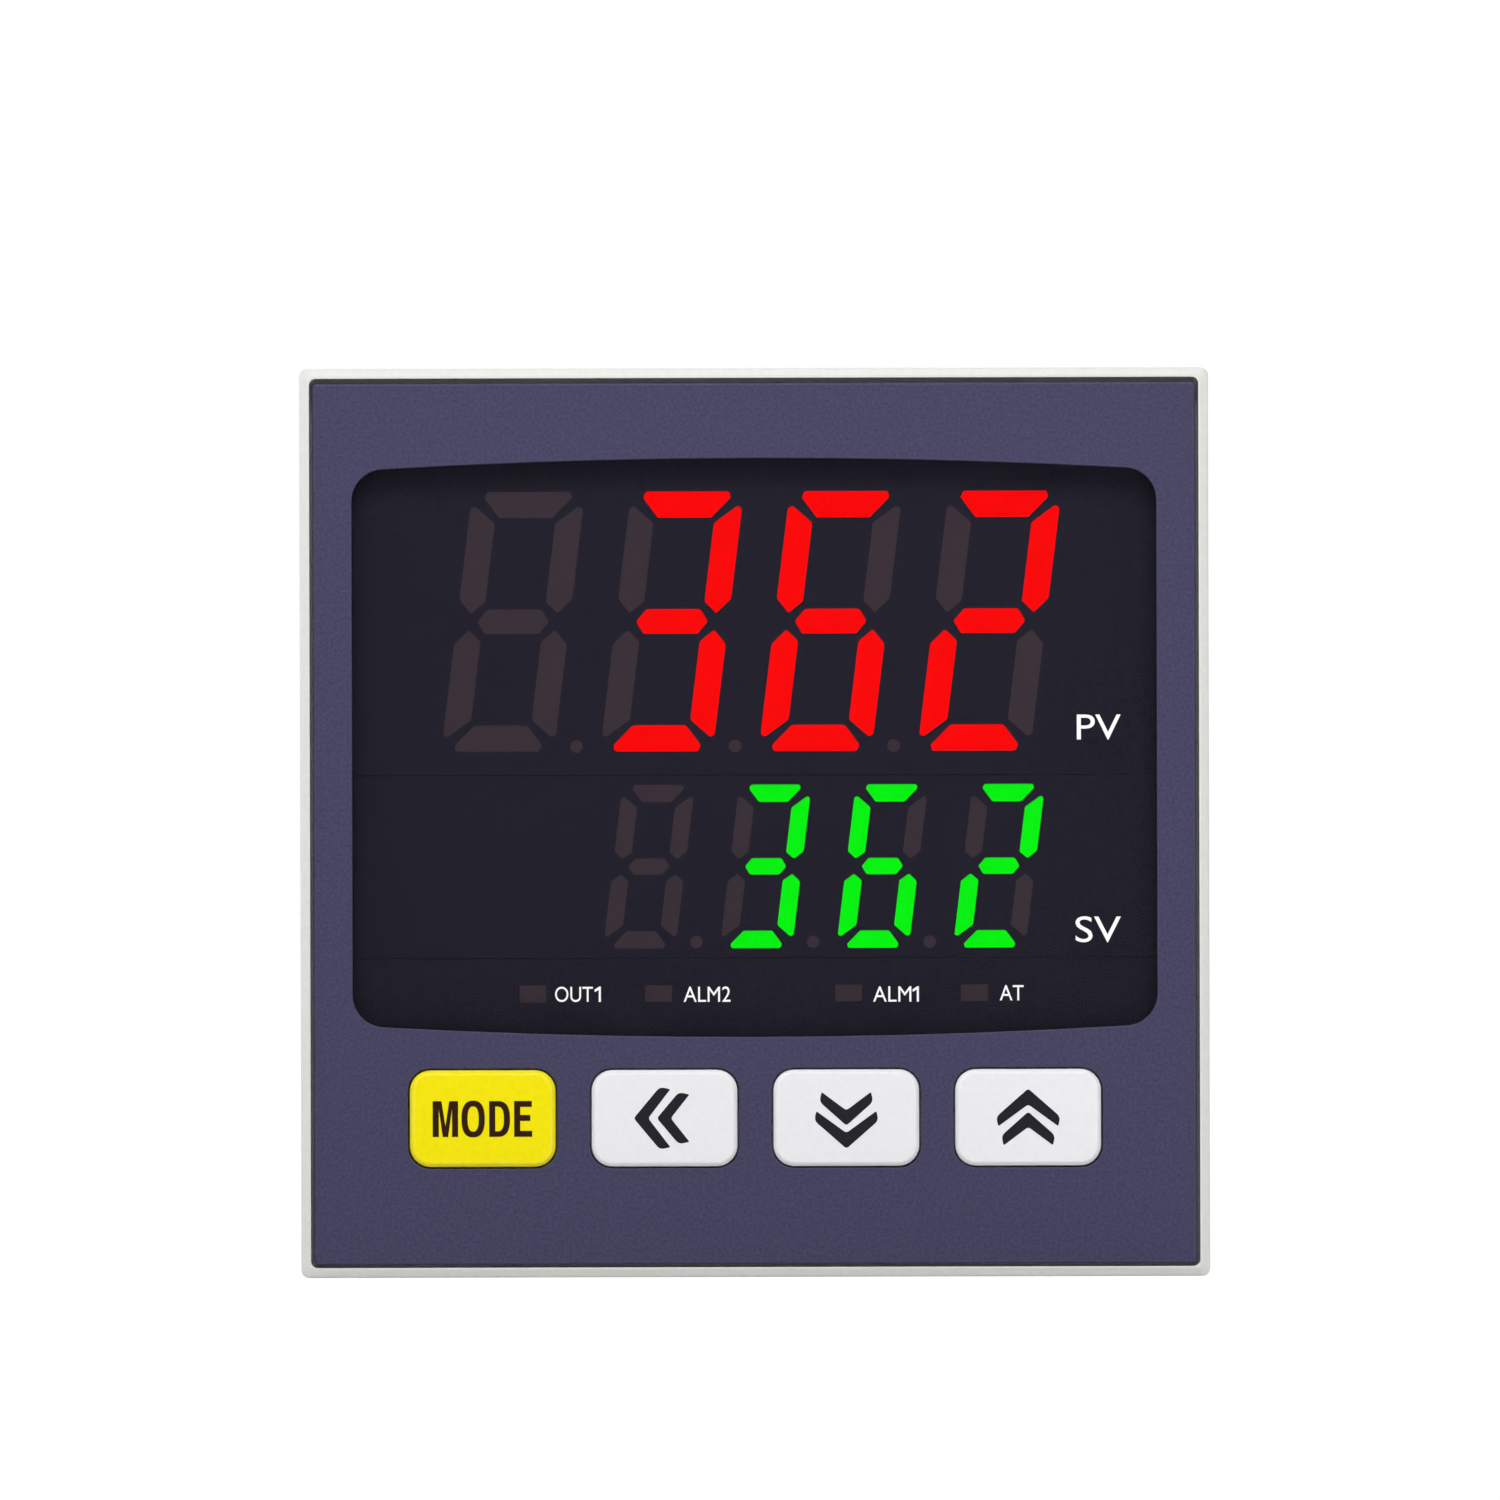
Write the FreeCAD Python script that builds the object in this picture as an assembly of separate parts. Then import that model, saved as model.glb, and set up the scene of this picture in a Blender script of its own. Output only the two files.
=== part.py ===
import FreeCAD, Part
import math
import os

# Panel-mounted temperature controller for a 92 x 92 mm panel cut-out, in millimetres.
# The origin is the centre of the cut-out on the plane where the bezel meets the panel.
# The front looks along -Y, +X is to the right seen from the front, and +Z is up.

V = FreeCAD.Vector

# How far a cut runs past a face that it opens, and the length below which two places are one
CUT_MARGIN = 1.0
SAME_PLACE = 1e-6

# Bezel frame
FRONT_SIDE = 96.0
BEZEL_DEPTH = 6.0
BEZEL_CORNER = 0.8
RIM_WIDTH = 1.05
RIM_BEVEL = 0.4
POCKET_CORNER = 0.7
LEDGE_BEARING = 1.15
LEDGE_THICKNESS = 1.2

# Face plate and its seat in the bezel
PLATE_RECESS = 0.4
PLATE_THICKNESS = 2.4
PLATE_GAP = 0.3
PLATE_TOP_GAP = 0.45
PLATE_CORNER = 0.5
PLATE_EDGE_BEVEL = 0.2

# Display window, with bowed top and bottom edges
WINDOW_SIDE_MARGIN = 4.15
WINDOW_TOP_MARGIN = 8.0
WINDOW_KEY_MARGIN = 3.45
WINDOW_BOW = 1.3
WINDOW_CORNER = 3.4
LENS_RECESS = 0.1
LENS_THICKNESS = 1.6
LENS_FLANGE = 1.4
LENS_FLANGE_THICKNESS = 0.8
LENS_GAP = 0.08

# Keys
KEY_WIDTH = 15.4
KEY_HEIGHT = 10.2
KEY_CORNER = 2.2
KEY_PITCH = 19.2
KEY_LEVEL = -31.2
KEY_PROUD = 0.35
KEY_BEVEL = 0.4
KEY_WALL = 1.4
KEY_GAP = 0.18
KEY_FLANGE = 1.0
KEY_FLANGE_THICKNESS = 0.8
KEY_STOP_GAP = 0.1
KEY_STEM_SIDE = 3.0
KEY_NAMES = ("mode", "shift", "down", "up")

# Tactile switches under the keys
SWITCH_SIDE = 6.0
SWITCH_HEIGHT = 3.5
SWITCH_TRAVEL = 0.5
SWITCH_FLOOR = 1.2
PLUNGER_SIDE = 3.4
PLUNGER_RISE = 0.8
PLUNGER_CLEARANCE = 0.05
PLUNGER_END_GAP = 0.4

# Seven-segment display modules, whose cases together fill the window
MODULE_DEPTH = 8.0
MODULE_MARGIN = 0.5
MODULE_SIDE_GAP = 0.55
MODULE_SEAM = 0.05
MODULE_GAP = 0.9
SEGMENT_DEPTH = 3.2
DIGIT_SLANT = 7.0
DIGIT_COUNT = 4
POINT_SIDES = 8
PV_DIGIT = {"half_height": 13.75, "half_width": 5.97, "stroke": 2.77, "nip": 0.0}
PV_HEAD_MARGIN = 3.95
PV_FIRST_X = -25.5
PV_PITCH = 16.8
PV_POINT = {"radius": 0.725, "beside": 0.68, "rise": 0.55}
PV_FOOT_MARGIN = 2.5
SV_DIGIT = {"half_height": 8.65, "half_width": 3.83, "stroke": 1.83, "nip": 0.22}
SV_HEAD_MARGIN = 1.0
SV_FIRST_X = -11.2
SV_PITCH = 12.35
SV_POINT = {"radius": 0.7, "beside": 1.17, "rise": 0.65}
SV_FOOT_MARGIN = 1.0
LIT_SEGMENTS = ("", "abcdg", "acdefg", "abdeg")

# Mitred ends of the segments, as shares of the stroke
BAR_FACE_INSET = 0.57
BAR_TIP_INSET = 0.48
BAR_TIP_DROP = 0.235
BAR_FOOT_INSET = 0.145
SIDE_INNER_DROP = 1.21
SIDE_TIP_INSET = 0.17
SIDE_TIP_DROP = 0.55
SIDE_OUTER_DROP = 0.65
SIDE_OUTER_END = 0.87
SIDE_POINT_INSET = 0.5
SIDE_POINT_END = 0.32
SIDE_INNER_END = 0.76
MIDDLE_TIP_INSET = 0.785
MIDDLE_FOOT_INSET = 0.126
MIDDLE_RISE = 0.47

# Indicator lights below the lower display
INDICATOR_WIDTH = 2.95
INDICATOR_HEIGHT = 1.9
INDICATOR_DROP = 3.75
INDICATOR_X = (-23.5, -10.2, 9.9, 23.2)

# Front circuit board and the snap arms of the face plate that hold it
BOARD_THICKNESS = 1.6
BOARD_EDGE_GAP = 0.45
ARM_X = 30.0
ARM_WIDTH = 4.0
ARM_THICKNESS = 1.6
ARM_EDGE_INSET = 1.1
ARM_SHOULDER = 1.0
ARM_GAP = 0.1
BARB_HEIGHT = 0.8
BARB_LENGTH = 1.2
BARB_GAP = 0.05
CHIP_SIDE = 10.0
CHIP_HEIGHT = 1.4
CHIP_LEVEL = 10.0

# Rear housing
CASE_SIDE = 91.5
CASE_DEPTH = 64.5
CASE_WALL = 2.2
CASE_CORNER = 1.0
CASE_FIT = 0.05
HUMP_GAP = 0.2
HUMP_RISE = 12.5
VENT_WIDTH = 1.8
VENT_LENGTH = 14.0
VENT_PITCH = 5.0
VENT_COUNT = 9
VENT_ROWS = (16.0, 34.0)
BACK_VENT_LENGTH = 34.0
BACK_VENT_PITCH = 5.0
BACK_VENT_COUNT = 7

# Snap tongues that hold the bezel to the housing
TONGUE_X = 20.0
TONGUE_WIDTH = 10.0
TONGUE_THICKNESS = 1.4
TONGUE_END = 4.4
TONGUE_GAP = 0.1
HOOK_START = 2.2
HOOK_HEIGHT = 1.1
HOOK_CLEARANCE = 0.2

# Side circuit boards in their housing grooves
SIDE_BOARD_INSET = 7.55
SIDE_BOARD_WALL_GAP = 0.35
SIDE_BOARD_END_GAP = 0.8
GROOVE_RIB = 1.2
GROOVE_DEPTH = 5.0
GROOVE_START = 15.0
GROOVE_GAP = 0.1
SOCKET_WIDTH = 4.6
SOCKET_DEPTH = 6.5
SOCKET_HALF_LENGTH = 15.0
SOCKET_FLOOR = 2.0
SOCKET_GAP = 0.05

# Parts on the side circuit boards, with heights measured from the board
CORE_LENGTH = 16.0
CORE_WIDTH = 16.0
CORE_DEPTH = 6.0
CORE_YOKE = 3.0
CORE_LIFT = 0.8
CENTRE_LEG = 4.5
OUTER_LEG = 2.4
BOBBIN_WALL = 1.0
BOBBIN_FOOT = 2.5
WINDING_THICKNESS = 2.0
WINDING_MARGIN = 0.2
TRANSFORMER_Y = 28.0
TRANSFORMER_Z = 14.0
CAPACITOR_RADIUS = 5.0
CAPACITOR_LENGTH = 16.0
CAPACITOR_Y = 28.0
CAPACITOR_Z = (-10.0, -24.0)
RELAY_SIZE = (15.3, 10.2, 18.4)
RELAY_Y = 28.0
RELAY_Z = (-24.0, 0.0, 24.0)
RELAY_BEVEL = 0.6

# Terminal blocks at the back
TERMINAL_COUNT = 9
TERMINAL_PITCH = 8.4
BARRIER = 1.4
BLOCK_WIDTH = 16.8
BLOCK_SIDE_GAP = 0.25
BLOCK_BASE = 4.0
BLOCK_DEPTH = 11.5
BLOCK_SPINE = 1.4
BLOCK_PLUG_WIDTH = 6.0
BLOCK_PLUG_GAP = 0.1
CONTACT_THICKNESS = 0.9
CONTACT_SIDE_GAP = 0.3
CONTACT_INNER_GAP = 0.6
CONTACT_OUTER_GAP = 1.2
TAIL_THICKNESS = 0.8
TAIL_WIDTH = 3.0
TAIL_GAP = 0.1
TAIL_ON_BOARD = 5.0
SCREW_INSET = 6.2
SCREW_RADIUS = 1.45
SCREW_LENGTH = 4.5
SCREW_HEAD_RADIUS = 2.8
SCREW_HEAD_HEIGHT = 2.2
SCREW_HEAD_SIDES = 12
SCREW_SHANK_SIDES = 6
THREAD_GAP = 0.05
SCREW_HOLE_GAP = 0.25
SCREW_END_GAP = 0.3
WASHER_SIDE = 6.4
WASHER_THICKNESS = 0.8

# Panel clamps that slide in channels in the housing's sides
CHANNEL_START = 8.6
CHANNEL_HALF_WIDTH = 12.0
CHANNEL_MOUTH_HALF = 9.5
CHANNEL_DEPTH = 1.7
LIP_THICKNESS = 0.7
CHANNEL_FLOOR = 2.0
CHANNEL_END_WALL = 1.2
TOOTH_PITCH = 2.0
TOOTH_SLOPE = 1.6
TOOTH_DEPTH = 0.6
TOOTH_HALF_WIDTH = 2.8
TOOTH_START = 16.0
TOOTH_END_GAP = 2.0
CLAMP_CLEARANCE = 0.1
CLAMP_PANEL_GAP = 8.0
CLAMP_FOOT_LENGTH = 3.0
CLAMP_FOOT_HALF_WIDTH = 16.0
CLAMP_NOSE_LENGTH = 8.0
CLAMP_LENGTH = 30.0
CLAMP_HEIGHT = 0.85
CLAMP_RIM_INSET = 0.1
CLAMP_TAB = 2.0
CLAMP_RIB = 1.4
CLAMP_RIB_LENGTH = 9.0
PAWL_SETBACK = 8.0
PAWL_HALF_WIDTH = 2.4
PAWL_LENGTH = 18.0
PAWL_THICKNESS = 1.0
PAWL_SLIT = 0.8
PAWL_CREST_GAP = 0.05

# Planes along Y that several pieces share
RIM_FRONT = -BEZEL_DEPTH
PLATE_FRONT = RIM_FRONT + PLATE_RECESS
PLATE_BACK = PLATE_FRONT + PLATE_THICKNESS
CASE_FRONT = PLATE_BACK + LEDGE_THICKNESS
LENS_FRONT = PLATE_FRONT + LENS_RECESS
LENS_BACK = LENS_FRONT + LENS_THICKNESS
LENS_SEAT = LENS_BACK - LENS_FLANGE_THICKNESS
MODULE_FRONT = LENS_BACK + MODULE_GAP
BOARD_FRONT = MODULE_FRONT + MODULE_DEPTH
BOARD_BACK = BOARD_FRONT + BOARD_THICKNESS
KEY_FRONT = PLATE_FRONT - KEY_PROUD
KEY_FLANGE_FRONT = PLATE_BACK + KEY_STOP_GAP
KEY_BACK = KEY_FLANGE_FRONT + KEY_FLANGE_THICKNESS
SWITCH_FRONT = BOARD_FRONT - SWITCH_HEIGHT
PLUNGER_FRONT = SWITCH_FRONT - PLUNGER_RISE
SIDE_BOARD_FRONT = BOARD_BACK + SOCKET_FLOOR
STEP_DEPTH = CASE_DEPTH - HUMP_RISE
STEP_INNER = STEP_DEPTH - CASE_WALL
CONTACT_SEAT = STEP_DEPTH + BLOCK_BASE
WASHER_SEAT = CONTACT_SEAT + CONTACT_THICKNESS
HEAD_SEAT = WASHER_SEAT + WASHER_THICKNESS

# Half widths that several pieces share
FRONT_HALF = FRONT_SIDE / 2
CASE_HALF = CASE_SIDE / 2
CASE_INNER = CASE_HALF - CASE_WALL
POCKET_HALF = FRONT_HALF - RIM_WIDTH
PLATE_HALF = POCKET_HALF - PLATE_GAP
WINDOW_HALF = PLATE_HALF - WINDOW_SIDE_MARGIN
LEDGE_HALF = CASE_HALF - LEDGE_BEARING
CHANNEL_BED = CASE_HALF - CHANNEL_DEPTH
BLOCK_OUTER = CHANNEL_BED - BLOCK_SIDE_GAP
BLOCK_INNER = BLOCK_OUTER - BLOCK_WIDTH
HUMP_HALF_WIDTH = BLOCK_INNER - HUMP_GAP
SCREW_X = BLOCK_INNER + SCREW_INSET
CONTACT_INNER = BLOCK_INNER + BLOCK_SPINE + CONTACT_INNER_GAP
CONTACT_OUTER = BLOCK_OUTER - CONTACT_OUTER_GAP
PLUG_HALF_LENGTH = TERMINAL_COUNT * TERMINAL_PITCH / 2 - BARRIER
SIDE_BOARD_X = CASE_INNER - SIDE_BOARD_INSET
BOARD_OUTER_FACE = SIDE_BOARD_X + BOARD_THICKNESS / 2
BOARD_INNER_FACE = SIDE_BOARD_X - BOARD_THICKNESS / 2
BOARD_HALF = CASE_INNER - BOARD_EDGE_GAP
MODULE_HALF = CASE_INNER - MODULE_SIDE_GAP
ARM_OUTER = BOARD_HALF - ARM_EDGE_INSET

# Levels from the top of the plate down: its window, the display cases and their digits and lights
PLATE_TOP = POCKET_HALF - PLATE_TOP_GAP
WINDOW_TOP = PLATE_TOP - WINDOW_TOP_MARGIN
WINDOW_BOTTOM = KEY_LEVEL + KEY_HEIGHT / 2 + WINDOW_KEY_MARGIN
DISPLAY_TOP = WINDOW_TOP + MODULE_MARGIN
PV_LEVEL = DISPLAY_TOP - PV_HEAD_MARGIN - PV_DIGIT["half_height"]
PV_CASE_FOOT = PV_LEVEL - PV_DIGIT["half_height"] - PV_FOOT_MARGIN
SV_CASE_TOP = PV_CASE_FOOT - MODULE_SEAM
SV_LEVEL = SV_CASE_TOP - SV_HEAD_MARGIN - SV_DIGIT["half_height"]
SV_CASE_FOOT = SV_LEVEL - SV_DIGIT["half_height"] - SV_FOOT_MARGIN
HOLDER_TOP = SV_CASE_FOOT - MODULE_SEAM
INDICATOR_LEVEL = HOLDER_TOP - INDICATOR_DROP
DISPLAY_FOOT = WINDOW_BOTTOM - MODULE_MARGIN


def past(low, high):
    """A range that runs past both its ends, for a cut that opens both faces."""
    return low - CUT_MARGIN, high + CUT_MARGIN


def box(x, y, z):
    """A block between the low and high ends given for each axis."""
    return Part.makeBox(x[1] - x[0], y[1] - y[0], z[1] - z[0], V(x[0], y[0], z[0]))


def is_along_y(edge):
    """True for a straight edge that runs along Y."""
    ends = [vertex.Point for vertex in edge.Vertexes]
    return len(ends) == 2 and abs(abs((ends[1] - ends[0]).y) - edge.Length) < SAME_PLACE


def round_along_y(shape, radius):
    """Rounds every edge that runs along Y."""
    return shape.makeFillet(radius, [edge for edge in shape.Edges if is_along_y(edge)])


def edges_on_plane(shape, y):
    """The edges that lie wholly on one plane across Y."""
    spans = [(edge, edge.BoundBox.YMin - y, edge.BoundBox.YMax - y) for edge in shape.Edges]
    return [edge for edge, low, high in spans if max(abs(low), abs(high)) < SAME_PLACE]


def slab(x, y, z, corner):
    """A plate across Y with rounded corners."""
    return round_along_y(box(x, y, z), corner)


def square(half, y, corner):
    """A square plate across Y about the origin."""
    return slab((-half, half), y, (-half, half), corner)


def prism(points, y):
    """An outline of (x, z) points carried along Y."""
    corners = [V(px, y[0], pz) for px, pz in points]
    face = Part.Face(Part.makePolygon(corners + corners[:1]))
    return face.extrude(V(0, y[1] - y[0], 0))


def many_sided(x, z, radius, sides, y):
    """A bar along Y with a regular outline of flat sides, its corners at the radius."""
    turns = [2 * math.pi * (number + 0.5) / sides for number in range(sides)]
    return prism([(x + radius * math.cos(turn), z + radius * math.sin(turn)) for turn in turns], y)


def profile_along_x(points, x):
    """An outline of (y, z) points carried along X."""
    corners = [V(x[0], py, pz) for py, pz in points]
    face = Part.Face(Part.makePolygon(corners + corners[:1]))
    return face.extrude(V(x[1] - x[0], 0, 0))


def profile_along_z(points, z):
    """An outline of (x, y) points carried along Z."""
    corners = [V(px, py, z[0]) for px, py in points]
    face = Part.Face(Part.makePolygon(corners + corners[:1]))
    return face.extrude(V(0, 0, z[1] - z[0]))


def fuse(shapes):
    """One solid from pieces that meet."""
    return shapes[0].multiFuse(shapes[1:]).removeSplitter()


def mirror_left(shape):
    """The same shape on the other side of the YZ plane."""
    return shape.mirror(V(0, 0, 0), V(1, 0, 0))


def mirror_down(shape):
    """The same shape below the XY plane."""
    return shape.mirror(V(0, 0, 0), V(0, 0, 1))


def key_centres():
    """The four keys' centres along X."""
    middle = (len(KEY_NAMES) - 1) / 2
    return [(number - middle) * KEY_PITCH for number in range(len(KEY_NAMES))]


def terminal_levels():
    """The heights of the terminals in one column, from the lowest up."""
    middle = (TERMINAL_COUNT - 1) / 2
    return [(number - middle) * TERMINAL_PITCH for number in range(TERMINAL_COUNT)]


# Display window and face plate


def window_prism(grow, y):
    """The window's outline, grown outwards: straight sides, bowed ends and round corners."""
    side = WINDOW_HALF + grow
    top = WINDOW_TOP + grow
    bottom = WINDOW_BOTTOM - grow
    upper_left = V(-side, y[0], top - WINDOW_BOW)
    upper_right = V(side, y[0], top - WINDOW_BOW)
    lower_right = V(side, y[0], bottom + WINDOW_BOW)
    lower_left = V(-side, y[0], bottom + WINDOW_BOW)
    edges = [
        Part.Arc(upper_left, V(0, y[0], top), upper_right).toShape(),
        Part.makeLine(upper_right, lower_right),
        Part.Arc(lower_right, V(0, y[0], bottom), lower_left).toShape(),
        Part.makeLine(lower_left, upper_left),
    ]
    blank = Part.Face(Part.Wire(edges)).extrude(V(0, y[1] - y[0], 0))
    return round_along_y(blank, WINDOW_CORNER + grow)


def flange_block(grow, y):
    """The square-cornered outline of the window's flange, grown outwards and carried along Y."""
    reach = LENS_FLANGE + grow
    side = WINDOW_HALF + reach
    return box((-side, side), y, (WINDOW_BOTTOM - reach, WINDOW_TOP + reach))


def display_window():
    """A smoked pane with a flange behind its edge."""
    pane = window_prism(-LENS_GAP, (LENS_FRONT, LENS_BACK))
    return fuse([pane, flange_block(0, (LENS_SEAT, LENS_BACK))])


def key_slab(x, grow, y):
    """The keys' outline, grown outwards and carried along Y."""
    half_width = KEY_WIDTH / 2 + grow
    half_height = KEY_HEIGHT / 2 + grow
    z = (KEY_LEVEL - half_height, KEY_LEVEL + half_height)
    return slab((x - half_width, x + half_width), y, z, KEY_CORNER + grow)


def snap_arm(x):
    """An upper arm of the face plate, with a shoulder before the circuit board and a barb behind it."""
    across = (x - ARM_WIDTH / 2, x + ARM_WIDTH / 2)
    inner = ARM_OUTER - ARM_THICKNESS
    barb = BOARD_BACK + BARB_GAP
    outline = [
        (PLATE_BACK, inner),
        (barb + BARB_LENGTH, inner),
        (barb + BARB_LENGTH, ARM_OUTER),
        (barb, ARM_OUTER + BARB_HEIGHT),
        (barb, ARM_OUTER),
        (PLATE_BACK, ARM_OUTER),
    ]
    shoulder_x = (across[0] - ARM_SHOULDER, across[1] + ARM_SHOULDER)
    shoulder = box(shoulder_x, (PLATE_BACK, BOARD_FRONT), (inner, ARM_OUTER))
    return fuse([profile_along_x(outline, across), shoulder])


def face_plate():
    """The dark front plate, with the window, four key openings and four arms for the circuit board."""
    across = (-PLATE_HALF, PLATE_HALF)
    upwards = (-PLATE_HALF, PLATE_TOP)
    plate = slab(across, (PLATE_FRONT, PLATE_BACK), upwards, PLATE_CORNER)
    plate = plate.makeChamfer(PLATE_EDGE_BEVEL, edges_on_plane(plate, PLATE_FRONT))
    arms = [snap_arm(-ARM_X), snap_arm(ARM_X)]
    through = past(PLATE_FRONT, PLATE_BACK)
    cuts = [window_prism(0, through), flange_block(LENS_GAP, (LENS_SEAT, PLATE_BACK + CUT_MARGIN))]
    cuts += [key_slab(x, KEY_GAP, through) for x in key_centres()]
    return fuse([plate] + arms + [mirror_down(arm) for arm in arms]).cut(cuts)


# Bezel and the tongues that hold it to the housing


def tongue():
    """The upper right snap tongue: a strip with a hook, joined to the bezel's ledge."""
    inner = CASE_INNER - TONGUE_GAP - TONGUE_THICKNESS
    outer = CASE_INNER - TONGUE_GAP
    outline = [
        (PLATE_BACK, inner),
        (TONGUE_END, inner),
        (TONGUE_END, outer),
        (HOOK_START, outer + HOOK_HEIGHT),
        (HOOK_START, outer),
        (CASE_FRONT, outer),
        (CASE_FRONT, CASE_HALF),
        (PLATE_BACK, CASE_HALF),
    ]
    return profile_along_x(outline, (TONGUE_X - TONGUE_WIDTH / 2, TONGUE_X + TONGUE_WIDTH / 2))


def front_bezel():
    """The light frame: a thin rim, a ledge that carries the plate, and a socket for the housing."""
    frame = square(FRONT_HALF, (RIM_FRONT, 0), BEZEL_CORNER)
    frame = frame.makeChamfer(RIM_BEVEL, edges_on_plane(frame, RIM_FRONT))
    pocket = square(POCKET_HALF, (RIM_FRONT - CUT_MARGIN, PLATE_BACK), POCKET_CORNER)
    ledge = (-LEDGE_HALF, LEDGE_HALF)
    opening = box(ledge, past(PLATE_BACK, CASE_FRONT), ledge)
    grip = (-CASE_HALF - CASE_FIT, CASE_HALF + CASE_FIT)
    socket = box(grip, (CASE_FRONT, CUT_MARGIN), grip)
    frame = frame.cut([pocket, opening, socket])
    right = [tongue(), mirror_down(tongue())]
    return fuse([frame] + right + [mirror_left(shape) for shape in right])


# Keys and switches


def key_block(x, half_width, half_height, y):
    """A square-cornered block on a key's centre line."""
    return box((x - half_width, x + half_width), y, (KEY_LEVEL - half_height, KEY_LEVEL + half_height))


def key_cap(x):
    """A hollow key with a bevelled front, a flange that stops it behind the plate, and a stem."""
    half_width = KEY_WIDTH / 2
    half_height = KEY_HEIGHT / 2
    cap = key_slab(x, 0, (KEY_FRONT, KEY_BACK))
    cap = cap.makeChamfer(KEY_BEVEL, edges_on_plane(cap, KEY_FRONT))
    flange = key_block(x, half_width + KEY_FLANGE, half_height + KEY_FLANGE, (KEY_FLANGE_FRONT, KEY_BACK))
    bottom = KEY_FRONT + KEY_WALL
    hollow = key_block(x, half_width - KEY_WALL, half_height - KEY_WALL, (bottom, KEY_BACK + CUT_MARGIN))
    stem = key_block(x, KEY_STEM_SIDE / 2, KEY_STEM_SIDE / 2, (bottom, PLUNGER_FRONT))
    return fuse([fuse([cap, flange]).cut(hollow), stem])


def plunger(x):
    """The square button of a tactile switch."""
    end = BOARD_FRONT - SWITCH_FLOOR - SWITCH_TRAVEL - PLUNGER_END_GAP
    return key_block(x, PLUNGER_SIDE / 2, PLUNGER_SIDE / 2, (PLUNGER_FRONT, end))


def switch_body(x):
    """A square switch case with a well for its plunger."""
    case = key_block(x, SWITCH_SIDE / 2, SWITCH_SIDE / 2, (SWITCH_FRONT, BOARD_FRONT))
    well = PLUNGER_SIDE / 2 + PLUNGER_CLEARANCE
    return case.cut(key_block(x, well, well, (SWITCH_FRONT - CUT_MARGIN, BOARD_FRONT - SWITCH_FLOOR)))


# Seven-segment displays


def digit_outlines(half_height, half_width, stroke, nip):
    """The seven segments of an upright digit as outlines of (x, z) points about its centre.

    The mitred ends follow the stroke, and nip draws every end back a little further.
    """
    inner = half_width - stroke
    bar = [
        (half_width - BAR_FACE_INSET * stroke - nip, half_height),
        (half_width - BAR_TIP_INSET * stroke - nip, half_height - BAR_TIP_DROP * stroke),
        (inner - BAR_FOOT_INSET * stroke - nip, half_height - stroke),
    ]
    top = [(-x, z) for x, z in bar] + [(x, z) for x, z in reversed(bar)]
    upright = [
        (inner, half_height - SIDE_INNER_DROP * stroke - nip),
        (half_width - SIDE_TIP_INSET * stroke, half_height - SIDE_TIP_DROP * stroke - nip),
        (half_width, half_height - SIDE_OUTER_DROP * stroke - nip),
        (half_width, SIDE_OUTER_END * stroke),
        (half_width - SIDE_POINT_INSET * stroke, SIDE_POINT_END * stroke + nip),
        (inner, SIDE_INNER_END * stroke + nip / 2),
    ]
    tip = half_width - MIDDLE_TIP_INSET * stroke - nip
    shoulder = inner - MIDDLE_FOOT_INSET * stroke - nip
    rise = MIDDLE_RISE * stroke
    middle = [(-tip, 0), (-shoulder, rise), (shoulder, rise), (tip, 0), (shoulder, -rise), (-shoulder, -rise)]
    return {
        "a": top,
        "b": upright,
        "c": [(x, -z) for x, z in upright],
        "d": [(x, -z) for x, z in top],
        "e": [(-x, -z) for x, z in upright],
        "f": [(-x, z) for x, z in upright],
        "g": middle,
    }


def slanted(points, x, level):
    """An outline leant to the right by the digits' slant and moved to its digit."""
    lean = math.tan(math.radians(DIGIT_SLANT))
    return [(x + px + pz * lean, level + pz) for px, pz in points]


def display(digit, point, first_x, pitch, level):
    """The lit segments and the unlit segments with the decimal points."""
    depth = (MODULE_FRONT, MODULE_FRONT + SEGMENT_DEPTH)
    lit = []
    dark = []
    for number in range(DIGIT_COUNT):
        x = first_x + number * pitch
        for name, outline in digit_outlines(**digit).items():
            group = lit if name in LIT_SEGMENTS[number] else dark
            group.append(prism(slanted(outline, x, level), depth))
        if number < DIGIT_COUNT - 1:
            across = x + digit["half_width"] + point["beside"]
            spot = (across, level - digit["half_height"] + point["rise"])
            dark.append(many_sided(*spot, point["radius"], POINT_SIDES, depth))
    return lit, dark


def display_case(z, cavities):
    """A display case as wide as the housing lets it be, with a cavity for each light."""
    return box((-MODULE_HALF, MODULE_HALF), (MODULE_FRONT, BOARD_FRONT), z).cut(cavities)


def indicator_blocks(y):
    """The four indicator lights' outlines carried along Y."""
    half_width = INDICATOR_WIDTH / 2
    z = (INDICATOR_LEVEL - INDICATOR_HEIGHT / 2, INDICATOR_LEVEL + INDICATOR_HEIGHT / 2)
    return [box((x - half_width, x + half_width), y, z) for x in INDICATOR_X]


def indicator_holder():
    """The lowest display case, which carries the indicator lights."""
    cavities = indicator_blocks(past(MODULE_FRONT, BOARD_FRONT))
    return display_case((DISPLAY_FOOT, HOLDER_TOP), cavities)


# Front circuit board


def display_board():
    """The circuit board behind the displays, with a slot for each snap arm."""
    span = (-BOARD_HALF, BOARD_HALF)
    board = box(span, (BOARD_FRONT, BOARD_BACK), span)
    half = ARM_WIDTH / 2 + ARM_GAP
    slot_z = (ARM_OUTER - ARM_THICKNESS - ARM_GAP, ARM_OUTER + ARM_GAP)
    slots = [box((x - half, x + half), past(BOARD_FRONT, BOARD_BACK), slot_z) for x in (-ARM_X, ARM_X)]
    return board.cut(slots + [mirror_down(slot) for slot in slots])


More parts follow.
